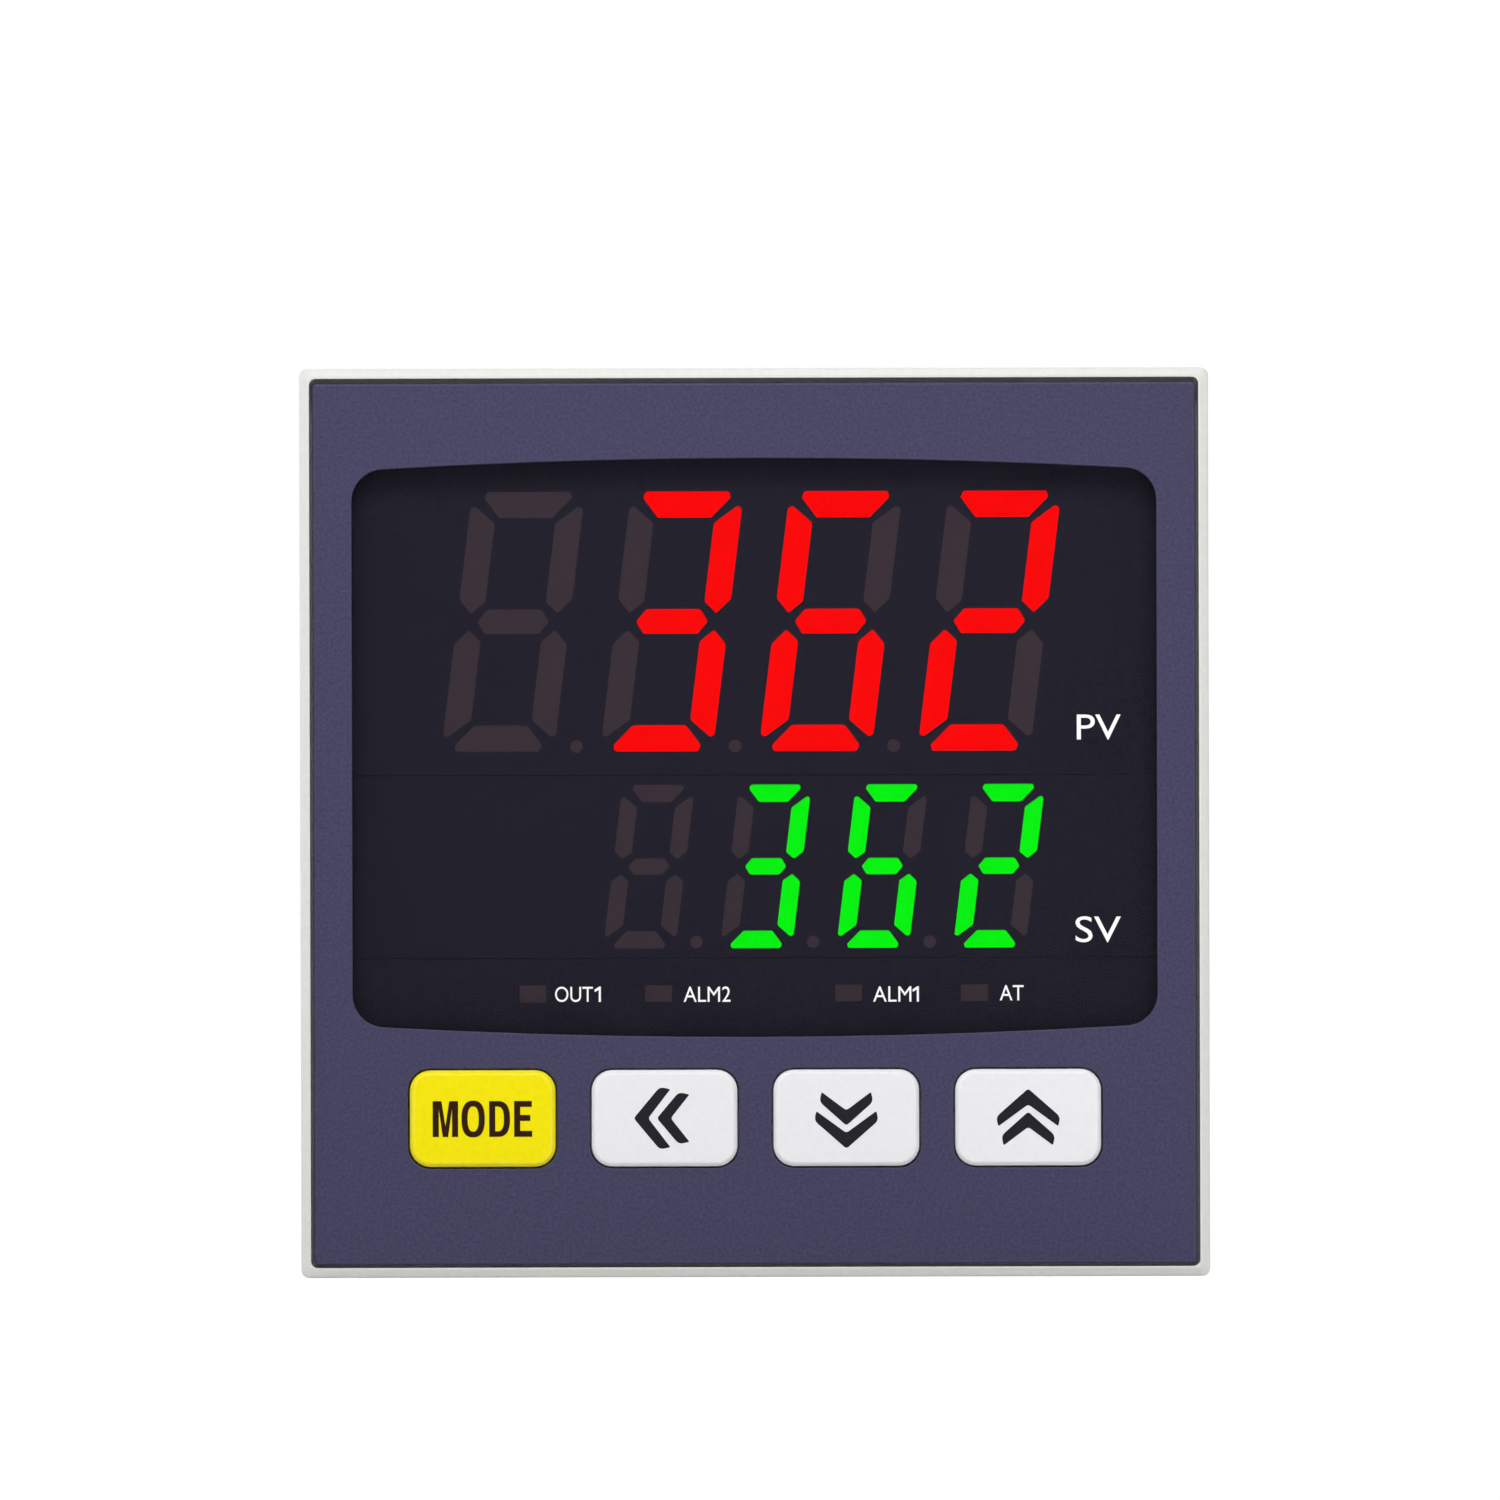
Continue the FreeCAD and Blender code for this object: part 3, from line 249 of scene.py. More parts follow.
def grid_faces(rows, columns, wrap_rows=False, wrap_columns=False):
    """Four-cornered faces of a grid of points, numbered along its rows, as corner rows."""
    row = np.arange(rows if wrap_rows else rows - 1)[:, None]
    column = np.arange(columns if wrap_columns else columns - 1)[None, :]
    next_row = (row + 1) % rows
    next_column = (column + 1) % columns
    corners = (
        row * columns + column,
        row * columns + next_column,
        next_row * columns + next_column,
        next_row * columns + column,
    )
    return np.stack([np.broadcast_to(c, (row.size, column.size)) for c in corners], -1).reshape(-1, 4)


def full_turn(count):
    """Evenly spaced angles around a whole turn."""
    return np.linspace(0, 2 * math.pi, count, endpoint=False)


def rounded_loops(profile, half_x, half_z, steps):
    """Square loops with round corners, one for each profile point.

    A profile point is an inset from the half widths, a depth along Y and a corner radius. Each corner's
    points are its centre, which is inset by the radius as well, plus the radius times the cosine and sine of
    the turn.
    """
    inset, depth, radius = np.array(profile).T[:, :, None, None]
    turn = (np.arange(4)[:, None] + np.linspace(0, 1, steps + 1)) * math.pi / 2
    side_x = np.array((1, -1, -1, 1))[:, None]
    side_z = np.array((1, 1, -1, -1))[:, None]
    x = side_x * (half_x - inset - radius) + radius * np.cos(turn)
    z = side_z * (half_z - inset - radius) + radius * np.sin(turn)
    y = np.broadcast_to(depth, x.shape)
    return np.stack((x, y, z), -1).reshape(len(profile), -1, 3)


def soft_corner(before, corner, after, reach, steps):
    """A quadratic curve from a point on one edge of a corner to a point on the other, at the given reach.

    Its points are (1-t)(1-t) times the start, 2t(1-t) times the corner and tt times the end.
    """
    start = corner + (before - corner) * reach / np.linalg.norm(before - corner)
    end = corner + (after - corner) * reach / np.linalg.norm(after - corner)
    t = np.linspace(0, 1, steps)[:, None]
    return (1 - t) ** 2 * start + 2 * t * (1 - t) * corner + t**2 * end


def rounded_outline(corners, reaches, steps):
    """A closed outline of (x, z) points whose corners are each softened at their own reach."""
    spots = zip(np.roll(corners, 1, axis=0), corners, np.roll(corners, -1, axis=0), reaches)
    return np.concatenate([soft_corner(*spot, steps) for spot in spots])


def extruded(name, outlines, front, back):
    """A mesh of flat-ended bars along Y, from each outline of (x, z) points at the front and at the back."""
    points = []
    faces = []
    first = 0
    for outline in outlines:
        count = len(outline)
        loops = np.empty((2, count, 3))
        loops[:, :, 0] = outline[:, 0]
        loops[:, :, 1] = np.array((front, back))[:, None]
        loops[:, :, 2] = outline[:, 1]
        points.append(loops.reshape(-1, 3))
        sides = grid_faces(2, count, wrap_columns=True)
        ends = [list(range(count))[::-1], list(range(count, 2 * count))]
        faces += [[first + corner for corner in face] for face in sides.tolist() + ends]
        first += 2 * count
    mesh = mesh_from(name, np.concatenate(points), faces)
    return turned_outwards(mesh)


def ring_between(outer, inner, front, back):
    """A closed ring along Y: both outlines, point for point, at the front and at the back."""
    loops = np.empty((4, len(outer), 3))
    loops[:, :, 0] = np.stack((outer, outer, inner, inner))[:, :, 0]
    loops[:, :, 1] = np.array((front, back, back, front))[:, None]
    loops[:, :, 2] = np.stack((outer, outer, inner, inner))[:, :, 1]
    faces = grid_faces(4, len(outer), wrap_rows=True, wrap_columns=True)
    return turned_outwards(mesh_from("ring", loops, faces.tolist()))


def turned_outwards(mesh):
    """Turns every closed shell's faces outwards."""
    with reshaped(mesh) as shape:
        bmesh.ops.recalc_face_normals(shape, faces=shape.faces)
    return creased(mesh)


def merge_poles(mesh):
    """Closes the places where a turned surface's rings shrink to a point."""
    with reshaped(mesh) as shape:
        bmesh.ops.remove_doubles(shape, verts=shape.verts, dist=POLE_MERGE)


def in_long_chains(edges, shortest):
    """The edges that belong to a chain longer than the shortest length.

    Two edges that meet are in one chain where the second goes on from the first with less than the chain
    turn.
    """
    straight_on = math.cos(CHAIN_TURN)
    chain = {edge: {edge} for edge in edges}
    for edge in edges:
        for vert in edge.verts:
            for other in vert.link_edges:
                if other not in chain or other in chain[edge]:
                    continue
                before = (vert.co - edge.other_vert(vert).co).normalized()
                after = (other.other_vert(vert).co - vert.co).normalized()
                if before.dot(after) > straight_on:
                    merged = chain[edge] | chain[other]
                    chain.update((link, merged) for link in merged)
    return [edge for edge in edges if sum(link.calc_length() for link in chain[edge]) > shortest]


def softened_copy(
    node, name, width, slot, material, body=CONTROLLER, segments=2, only_along_y=False, shortest=0.0
):
    """A copy of a solid with its outer edges rounded, which stands for the solid.

    The loose triangles are merged, flat neighbours are dissolved, and each outer edge sharper than the edge
    angle, in a chain longer than the shortest length, is replaced by an arc of the given width.
    """
    shape = bmesh.new()
    shape.from_mesh(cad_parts[node].data)
    worn_and_highlit = shape.faces.layers.float.new(EDGE_MARK)
    bmesh.ops.remove_doubles(shape, verts=shape.verts, dist=SOLID_MERGE)
    bmesh.ops.dissolve_limit(shape, angle_limit=FLAT_ANGLE, verts=shape.verts, edges=shape.edges)

    def is_rounded(edge):
        """True for an outer edge that is sharp, and that lies along Y where only such edges are rounded."""
        if len(edge.link_faces) != 2 or edge.calc_face_angle_signed(0) < EDGE_ANGLE:
            return False
        run = edge.verts[1].co - edge.verts[0].co
        return not only_along_y or abs(run.y) > ALONG_Y * run.length

    sharp = [edge for edge in shape.edges if is_rounded(edge)]
    edges = in_long_chains(sharp, max(SHORTEST_CHAIN * width, shortest))
    arc = {"offset": width, "offset_type": "OFFSET", "segments": segments, "profile": 0.5}
    rounded = bmesh.ops.bevel(shape, geom=edges, affect="EDGES", clamp_overlap=False, **arc)
    # The rounded faces are marked for the finishes' edge lightening, which is wear and, on the white keys, a
    # painted highlight
    for face in rounded["faces"]:
        face[worn_and_highlit] = 1.0
    shape.normal_update()
    for edge in shape.edges:
        edge.smooth = edge.calc_face_angle(0) < CREASE_ANGLE
    mesh = bpy.data.meshes.new(name)
    shape.to_mesh(mesh)
    shape.free()
    mesh.shade_smooth()
    piece = new_piece(name, mesh, body, material)
    weights = piece.modifiers.new("Even flats", "WEIGHTED_NORMAL")
    weights.keep_sharp = True
    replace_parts(piece, node)


def word_points(text, centre, size):
    """The points and faces of a word in plain letters, fitted to a size and lying on the XZ plane."""
    curve = bpy.data.curves.new("word", "FONT")
    curve.body = text
    curve.resolution_u = 5
    holder = bpy.data.objects.new("word", curve)
    bpy.context.scene.collection.objects.link(holder)
    bpy.context.view_layer.update()
    mesh = bpy.data.meshes.new_from_object(holder.evaluated_get(bpy.context.evaluated_depsgraph_get()))
    bpy.data.objects.remove(holder)
    points = np.zeros(len(mesh.vertices) * 3)
    mesh.vertices.foreach_get("co", points)
    points = points.reshape(-1, 3)[:, :2]
    faces = [list(face.vertices) for face in mesh.polygons]
    bpy.data.meshes.remove(mesh)
    low = points.min(0)
    high = points.max(0)
    return (points - (low + high) / 2) / (high - low) * size + centre, faces


def printed_words(name, words, plane, thickness):
    """One thin mesh of words, each given as its text, centre and size, standing proud of a plane."""
    points = []
    faces = []
    first = 0
    for text, centre, size in words:
        flat, corners = word_points(text, np.array(centre) * MM, np.array(size) * MM)
        placed = np.full((len(flat), 3), plane)
        placed[:, 0] = flat[:, 0]
        placed[:, 2] = flat[:, 1]
        points.append(placed)
        faces += [[first + corner for corner in face] for face in corners]
        first += len(flat)
    mesh = bpy.data.meshes.new(name)
    mesh.from_pydata(np.concatenate(points).tolist(), [], faces)
    with reshaped(mesh) as shape:
        bmesh.ops.remove_doubles(shape, verts=shape.verts, dist=WORD_MERGE)
        raised = bmesh.ops.extrude_face_region(shape, geom=shape.faces[:])
        moved = [item for item in raised["geom"] if isinstance(item, bmesh.types.BMVert)]
        bmesh.ops.translate(shape, verts=moved, vec=(0, -thickness, 0))
        bmesh.ops.recalc_face_normals(shape, faces=shape.faces)
    return mesh


# Shader node groups


def add_group(name, inputs, outputs):
    """An empty shader node group with its named sockets and its two end nodes."""
    group = bpy.data.node_groups.new(name, "ShaderNodeTree")
    for title, default in inputs:
        socket = group.interface.new_socket(title, in_out="INPUT", socket_type="NodeSocketFloat")
        socket.default_value = default
    for title in outputs:
        group.interface.new_socket(title, in_out="OUTPUT", socket_type="NodeSocketFloat")
    start = group.nodes.new("NodeGroupInput")
    end = group.nodes.new("NodeGroupOutput")
    return group, start, end


def feed(tree, value, socket):
    """Links an input to another socket, or sets it to a number or an opaque colour."""
    if isinstance(value, bpy.types.NodeSocket):
        tree.links.new(value, socket)
    elif socket.type == "RGBA":
        socket.default_value = (*value, 1.0)
    else:
        socket.default_value = value


def noise(tree, vector, scale, detail, roughness=0.5):
    """A noise node on a vector, its scale a socket or a number."""
    node = tree.nodes.new("ShaderNodeTexNoise")
    node.inputs["Detail"].default_value = detail
    node.inputs["Roughness"].default_value = roughness
    tree.links.new(vector, node.inputs["Vector"])
    feed(tree, scale, node.inputs["Scale"])
    return node.outputs["Fac"]


def mapped(tree, value, low, high, to_low, to_high):
    """A value's range carried onto another range and held inside it."""
    node = tree.nodes.new("ShaderNodeMapRange")
    node.inputs["From Min"].default_value = low
    node.inputs["From Max"].default_value = high
    node.inputs["To Min"].default_value = to_low
    node.inputs["To Max"].default_value = to_high
    tree.links.new(value, node.inputs["Value"])
    return node.outputs["Result"]


def math_node(tree, operation, first, second):
    """A sum, product or other operation on two sockets or numbers."""
    node = tree.nodes.new("ShaderNodeMath")
    node.operation = operation
    feed(tree, first, node.inputs[0])
    feed(tree, second, node.inputs[1])
    return node.outputs["Value"]


# The parts of a noise's range that are spread out for flecks and smudges, and for worn patches
NOISE_RANGE = (0.3, 0.7)
PATCH_RANGE = (0.35, 0.65)
LEAST_PATCH = 0.3


def moulded_grain():
    """Spark-eroded grain: fine height noise, and a coarser fleck for the colour."""
    inputs = (("Scale", 4000.0), ("Fleck scale", 1500.0))
    group, start, end = add_group("Moulded grain", inputs, ("Height", "Fleck"))
    place = group.nodes.new("ShaderNodeTexCoord").outputs["Object"]
    fine = noise(group, place, start.outputs["Scale"], 3.0, 0.65)
    coarse = noise(group, place, start.outputs["Fleck scale"], 2.0)
    group.links.new(fine, end.inputs["Height"])
    group.links.new(mapped(group, coarse, *NOISE_RANGE, 0.0, 1.0), end.inputs["Fleck"])
    return group


def rubbed_edges_and_highlight():
    """Wear along outer edges, and a painted highlight where a finish lightens them strongly: the faces marked
    as edges, broken up by noise.
    """
    group, start, end = add_group("Rubbed edges and highlight", (("Patch scale", 350.0),), ("Mask",))
    mark = group.nodes.new("ShaderNodeAttribute")
    mark.attribute_name = EDGE_MARK
    place = group.nodes.new("ShaderNodeTexCoord").outputs["Object"]
    broken = noise(group, place, start.outputs["Patch scale"], 3.0)
    patches = mapped(group, broken, *PATCH_RANGE, LEAST_PATCH, 1.0)
    group.links.new(math_node(group, "MULTIPLY", mark.outputs["Fac"], patches), end.inputs["Mask"])
    return group


def handling_marks():
    """Broad smudges from handling, as a share from nought to one."""
    group, start, end = add_group("Handling marks", (("Scale", 60.0),), ("Smudge",))
    place = group.nodes.new("ShaderNodeTexCoord").outputs["Object"]
    smudge = noise(group, place, start.outputs["Scale"], 4.0, 0.6)
    group.links.new(mapped(group, smudge, *NOISE_RANGE, 0.0, 1.0), end.inputs["Smudge"])
    return group


def fine_lines():
    """Fine parallel lines across the pieces, as turning or drawing leaves in metal."""
    inputs = (("Along X", 9000.0), ("Along Y", 300.0), ("Along Z", 9000.0))
    group, start, end = add_group("Fine lines", inputs, ("Line",))
    place = group.nodes.new("ShaderNodeTexCoord").outputs["Object"]
    scale = group.nodes.new("ShaderNodeCombineXYZ")
    for axis in "XYZ":
        group.links.new(start.outputs["Along " + axis], scale.inputs[axis])
    stretch = group.nodes.new("ShaderNodeVectorMath")
    stretch.operation = "MULTIPLY"
    group.links.new(place, stretch.inputs[0])
    group.links.new(scale.outputs["Vector"], stretch.inputs[1])
    group.links.new(noise(group, stretch.outputs["Vector"], 1.0, 2.0), end.inputs["Line"])
    return group


# How far the marked edges go towards white, as wear and as painted highlight, and how much handling changes
# the roughness
RUBBED_AND_HIGHLIGHT_PALENESS = 0.25
HANDLING_SPREAD = 0.08

GROUP_MAKERS = {
    "Moulded grain": moulded_grain,
    "Rubbed edges and highlight": rubbed_edges_and_highlight,
    "Handling marks": handling_marks,
    "Fine lines": fine_lines,
}


def placed_group(tree, name, **values):
    """A group's node in a material, built the first time that it is asked for, with its own values."""
    group = bpy.data.node_groups.get(name) or GROUP_MAKERS[name]()
    node = tree.nodes.new("ShaderNodeGroup")
    node.node_tree = group
    for title, value in values.items():
        node.inputs[title.replace("_", " ")].default_value = value
    return node


def mixed(tree, share, first, second):
    """A colour between two colours or sockets by a share."""
    node = tree.nodes.new("ShaderNodeMix")
    node.data_type = "RGBA"
    tree.links.new(share, node.inputs["Factor"])
    feed(tree, first, node.inputs[6])
    feed(tree, second, node.inputs[7])
    return node.outputs[2]


def principled(material):
    """A material's shader."""
    return material.node_tree.nodes["Principled BSDF"]


def scaled(paint, share):
    """A colour made lighter or darker by a share, kept inside the range."""
    return tuple(min(1.0, channel * share) for channel in paint)


def plastic(name, paint, roughness, specular=0.5, fleck=0.08, grain=4000.0, fleck_scale=1500.0, depth=0.004,
            wear_and_highlight=0.25, metallic=0.0, lines=None):
    """A finish with grain, flecks, smudges and rubbed edges.

    fleck is the darkening of the darkest flecks, depth the grain's height in millimetres, the wear value the
    lightening of the marked edges, which is rubbed wear and, on the bezel's lip and the white keys' edges, a
    painted highlight, and lines the scale of fine lines along Y. The roughness changes by handling, up and
    down by half the handling spread.
    """
    made = bpy.data.materials.get(name)
    if made:
        return made
    made = bpy.data.materials.new(name)
    made.use_nodes = True
    tree = made.node_tree
    shader = principled(made)
    shader.inputs["Specular IOR Level"].default_value = specular
    shader.inputs["Metallic"].default_value = metallic
    surface = placed_group(tree, "Moulded grain", Scale=grain, Fleck_scale=fleck_scale)
    marks = placed_group(tree, "Handling marks")
    edges = placed_group(tree, "Rubbed edges and highlight")
    flecked = mixed(tree, surface.outputs["Fleck"], scaled(paint, 1 - fleck), scaled(paint, 1 + fleck / 2))
    # The marked edge faces go towards a paler colour: rubbed wear, and a painted highlight on the bezel's lip
    # and the white keys' edges
    worn_and_highlit = mapped(tree, edges.outputs["Mask"], 0.0, 1.0, 0.0, wear_and_highlight)
    rubbed_and_highlit = tuple(channel + RUBBED_AND_HIGHLIGHT_PALENESS * (1 - channel) for channel in paint)
    tree.links.new(mixed(tree, worn_and_highlit, flecked, rubbed_and_highlit), shader.inputs["Base Color"])
    low = roughness - HANDLING_SPREAD / 2
    rough = mapped(tree, marks.outputs["Smudge"], 0.0, 1.0, low, low + HANDLING_SPREAD)
    tree.links.new(rough, shader.inputs["Roughness"])
    height = surface.outputs["Height"]
    if lines:
        drawn = placed_group(tree, "Fine lines", Along_Y=lines)
        height = math_node(tree, "ADD", height, drawn.outputs["Line"])
    bump = tree.nodes.new("ShaderNodeBump")
    bump.inputs["Strength"].default_value = 1.0
    bump.inputs["Distance"].default_value = depth * MM
    tree.links.new(height, bump.inputs["Height"])
    tree.links.new(bump.outputs["Normal"], shader.inputs["Normal"])
    return made


def glowing(name, paint, strength):
    """A lit segment: a milky bar that glows a little unevenly through its depth."""
    own_colour, dimmest = 0.25, 0.94
    made = plastic(name, scaled(paint, own_colour), 0.5, specular=0.1, fleck=0.05, wear_and_highlight=0.0)
    tree = made.node_tree
    shader = principled(made)
    milk = placed_group(tree, "Moulded grain", Scale=900.0, Fleck_scale=500.0)
    glow = mixed(tree, milk.outputs["Fleck"], scaled(paint, dimmest), paint)
    tree.links.new(glow, shader.inputs["Emission Color"])
    shader.inputs["Emission Strength"].default_value = strength
    return made


def smoked(name, paint, alpha):
    """A smoked pane that lets part of the light through, with faint smudges in its gloss."""
    made = plastic(name, paint, 0.24, specular=0.06, fleck=0.05, grain=900.0, depth=0.00002, wear_and_highlight=0.03)
    principled(made).inputs["Alpha"].default_value = alpha
    made.surface_render_method = "BLENDED"
    return made


def circuit_board(name, paint):
    """Solder resist over fine copper lines: the borders of a cell pattern are lighter."""
    cell_scale = 320.0
    line_core, line_edge = 0.05, 0.09
    line_paleness = 1.9
    made = plastic(name, paint, 0.35, fleck=0.1, grain=1500.0, wear_and_highlight=0.0, depth=0.01)
    tree = made.node_tree
    place = tree.nodes.new("ShaderNodeTexCoord").outputs["Object"]
    cells = tree.nodes.new("ShaderNodeTexVoronoi")
    cells.feature = "DISTANCE_TO_EDGE"
    cells.inputs["Scale"].default_value = cell_scale
    tree.links.new(place, cells.inputs["Vector"])
    track = mapped(tree, cells.outputs["Distance"], line_core, line_edge, 1.0, 0.0)
    shader = principled(made)
    base = shader.inputs["Base Color"].links[0].from_socket
    tree.links.new(mixed(tree, track, base, scaled(paint, line_paleness)), shader.inputs["Base Color"])
    return made


def component_black():
    """The black moulded plastic of small electronic parts."""
    return plastic("Component black", colours().dark_part, 0.45, specular=0.4, grain=3000.0, wear_and_highlight=0.1)


# Operators, one for each piece or group of like pieces


class MakeBezel(bpy.types.Operator):
    """Makes the light frame with its rounded rim, and the four tongues that hold it to the housing."""

    bl_idname = "controller.make_bezel"
    bl_label = "Bezel"

    def execute(self, context):
        own = sizes()
        outer_radius = 0.8 * MM
        pocket_radius = 0.7 * MM
        square = 0.05 * MM
        wall = 2 * MM
        shoulder_reach, lip_reach, mouth_reach = 0.3 * MM, 0.1 * MM, 0.06 * MM
        lip_steps = 4
        wall_foot = np.array((0.0, wall))
        outer_edge = np.array((0.0, own.rim_fall))
        lip_edge = np.array((own.rim_width - own.rim_lip, 0.0))
        inner_edge = np.array((own.rim_width, 0.0))
        pocket_foot = np.array((own.rim_width, wall))
        front = np.concatenate(
            (
                soft_corner(wall_foot, outer_edge, lip_edge, shoulder_reach, own.corner_steps),
                soft_corner(outer_edge, lip_edge, inner_edge, lip_reach, lip_steps),
                soft_corner(lip_edge, inner_edge, pocket_foot, mouth_reach, lip_steps),
            )
        )
        radius = outer_radius + (pocket_radius - outer_radius) * front[:, 0] / own.rim_width
        rounded = np.stack((front[:, 0], RIM_FRONT + front[:, 1], radius), -1)
        ledge_half = 44.6 * MM
        socket_half = 45.8 * MM
        ledge_inset = FRONT_HALF - ledge_half
        socket_inset = FRONT_HALF - socket_half
        inner = (
            (own.rim_width, PLATE_BACK, pocket_radius),
            (ledge_inset, PLATE_BACK, square),
            (ledge_inset, CASE_FRONT, square),
            (socket_inset, CASE_FRONT, square),
            (socket_inset, 0.0, square),
            (0.0, 0.0, outer_radius),
        )
        profile = np.concatenate((rounded, np.array(inner)))
        loops = rounded_loops(profile, FRONT_HALF, FRONT_HALF, own.corner_steps)
        faces = grid_faces(*loops.shape[:2], wrap_rows=True, wrap_columns=True)
        mesh = turned_outwards(mesh_from("bezel_frame", loops, faces.tolist()))
        # The flat lip along the rim's inside and its rounding into the pocket are marked, and the bezel
        # finish's large edge lightening paints a highlight on them
        first_lip_row = own.corner_steps + lip_steps - 1
        rows = np.arange(len(profile))
        highlit_lip = (rows >= first_lip_row) & (rows < first_lip_row + lip_steps)
        mark_highlit_faces(mesh, np.repeat(highlit_lip, loops.shape[1]))
        finish = plastic(
            "Bezel grey", colours().bezel, 0.42, specular=0.3, fleck=0.03, grain=3500.0, depth=0.003, wear_and_highlight=0.8
        )
        stand_in("front_bezel", "bezel_frame", mesh, finish)
        new_piece("bezel_tongues", self.tongues(), CONTROLLER, finish)
        return {"FINISHED"}

    def tongues(self):
        """Four hooked strips: one outline in depth and height carried along X, and its mirrored copies."""
        across = np.array((15.0, 25.0))
        depths = np.array((-3.2, 4.4, 4.4, 2.2, 2.2, -2.0, -2.0, -3.2))
        heights = np.array((42.05, 42.05, 43.45, 44.55, 43.45, 43.45, 45.0, 45.0))
        count = len(depths)
        one = np.empty((2, count, 3))
        one[:, :, 0] = across[:, None]
        one[:, :, 1] = depths
        one[:, :, 2] = heights
        signs = np.array(((1, 1, 1), (-1, 1, 1), (1, 1, -1), (-1, 1, -1)))
        points = one.reshape(1, -1, 3) * signs[:, None, :] * MM
        shell = grid_faces(2, count, wrap_columns=True).tolist()
        shell += [list(range(count))[::-1], list(range(count, 2 * count))]
        strips = range(len(signs))
        faces = [[strip * 2 * count + corner for corner in face] for strip in strips for face in shell]
        return turned_outwards(mesh_from("bezel_tongues", points, faces))


class MakePlate(bpy.types.Operator):
    """Makes the dark face plate with its softened openings."""

    bl_idname = "controller.make_plate"
    bl_label = "Face plate"

    def execute(self, context):
        grain = {"fleck": 0.22, "grain": 5200.0, "fleck_scale": 3200.0, "depth": 0.006}
        finish = plastic("Plate blue-grey", colours().plate, 0.5, specular=0.14, wear_and_highlight=0.06, **grain)
        softened_copy("face_plate", "face_plate_moulding", sizes().plate_edge, "plate_blue", finish)
        return {"FINISHED"}


class MakeWindow(bpy.types.Operator):
    """Makes the smoked pane and the small white labels printed on it."""

    bl_idname = "controller.make_window"
    bl_label = "Display window"

    def execute(self, context):
        pane = smoked("Smoked pane", colours().window, 0.37)
        softened_copy("display_window", "window_pane", 0.06 * MM, "smoked_lens", pane)
        # Text, centre along X and Z, and width and height, in millimetres
        words = (
            ("PV", (36.36, 9.98), (4.63, 2.65)),
            ("SV", (36.25, -11.37), (4.8, 2.75)),
            ("OUT", (-19.13, -18.1), (4.0, 1.62)),
            ("ALM2", (-5.07, -18.12), (4.95, 1.62)),
            ("ALM", (14.48, -18.15), (4.04, 1.62)),
            ("AT", (27.1, -18.05), (2.53, 1.62)),
        )
        thickness = sizes().print_depth
        ink = plastic("Label print", colours().label_print, 0.5, fleck=0.02, wear_and_highlight=0.0, depth=0.001)
        labels = printed_words("window_labels", words, LENS_FRONT, thickness)
        new_piece("window_labels", labels, CONTROLLER, ink)
        # The figure one, drawn in a square of size one, after the words OUT and ALM
        one = np.array(((0.66, 0), (1, 0), (1, 1), (0.74, 1), (0, 0.8), (0, 0.64), (0.66, 0.78)))
        corners = ((-16.95, -18.91), (16.64, -18.96))
        figures = [(one * (0.66, 1.62) + corner) * MM for corner in corners]
        mesh = extruded("window_figures", figures, LENS_FRONT - thickness, LENS_FRONT)
        new_piece("window_figures", mesh, CONTROLLER, ink)
        return {"FINISHED"}


class MakeDisplays(bpy.types.Operator):
    """Makes the two display modules with their segments, and the four indicator lenses in their bar."""

    bl_idname = "controller.make_displays"
    bl_label = "Displays"

    def execute(self, context):
        own = sizes()
        paint = colours()
        red = glowing("Red light", paint.red_light, 2.35)
        green = glowing("Green light", paint.green_light, 2.45)
        unlit = plastic("Unlit segment", paint.unlit_segment, 0.5, specular=0.1, fleck=0.04, wear_and_highlight=0.0)
        rows = (
            ("pv_lit_segments", "upper_lit_bars", own.upper_segment_round, "segment_red", red),
            ("pv_dark_segments", "upper_unlit_bars", own.upper_segment_round, "segment_dark", unlit),
            ("sv_lit_segments", "lower_lit_bars", own.lower_segment_round, "segment_green", green),
            ("sv_dark_segments", "lower_unlit_bars", own.lower_segment_round, "segment_dark", unlit),
        )
        for row in rows:
            softened_copy(*row, segments=3, only_along_y=True)
        softened_copy("indicator_lenses", "indicator_bars", 0.12 * MM, "segment_dark", unlit)
        black = plastic("Display case black", paint.module, 0.6, specular=0.08, fleck=0.06, wear_and_highlight=0.0)
        for node in ("pv_display_case", "sv_display_case", "indicator_holder"):
            give(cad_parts[node], black)
        return {"FINISHED"}


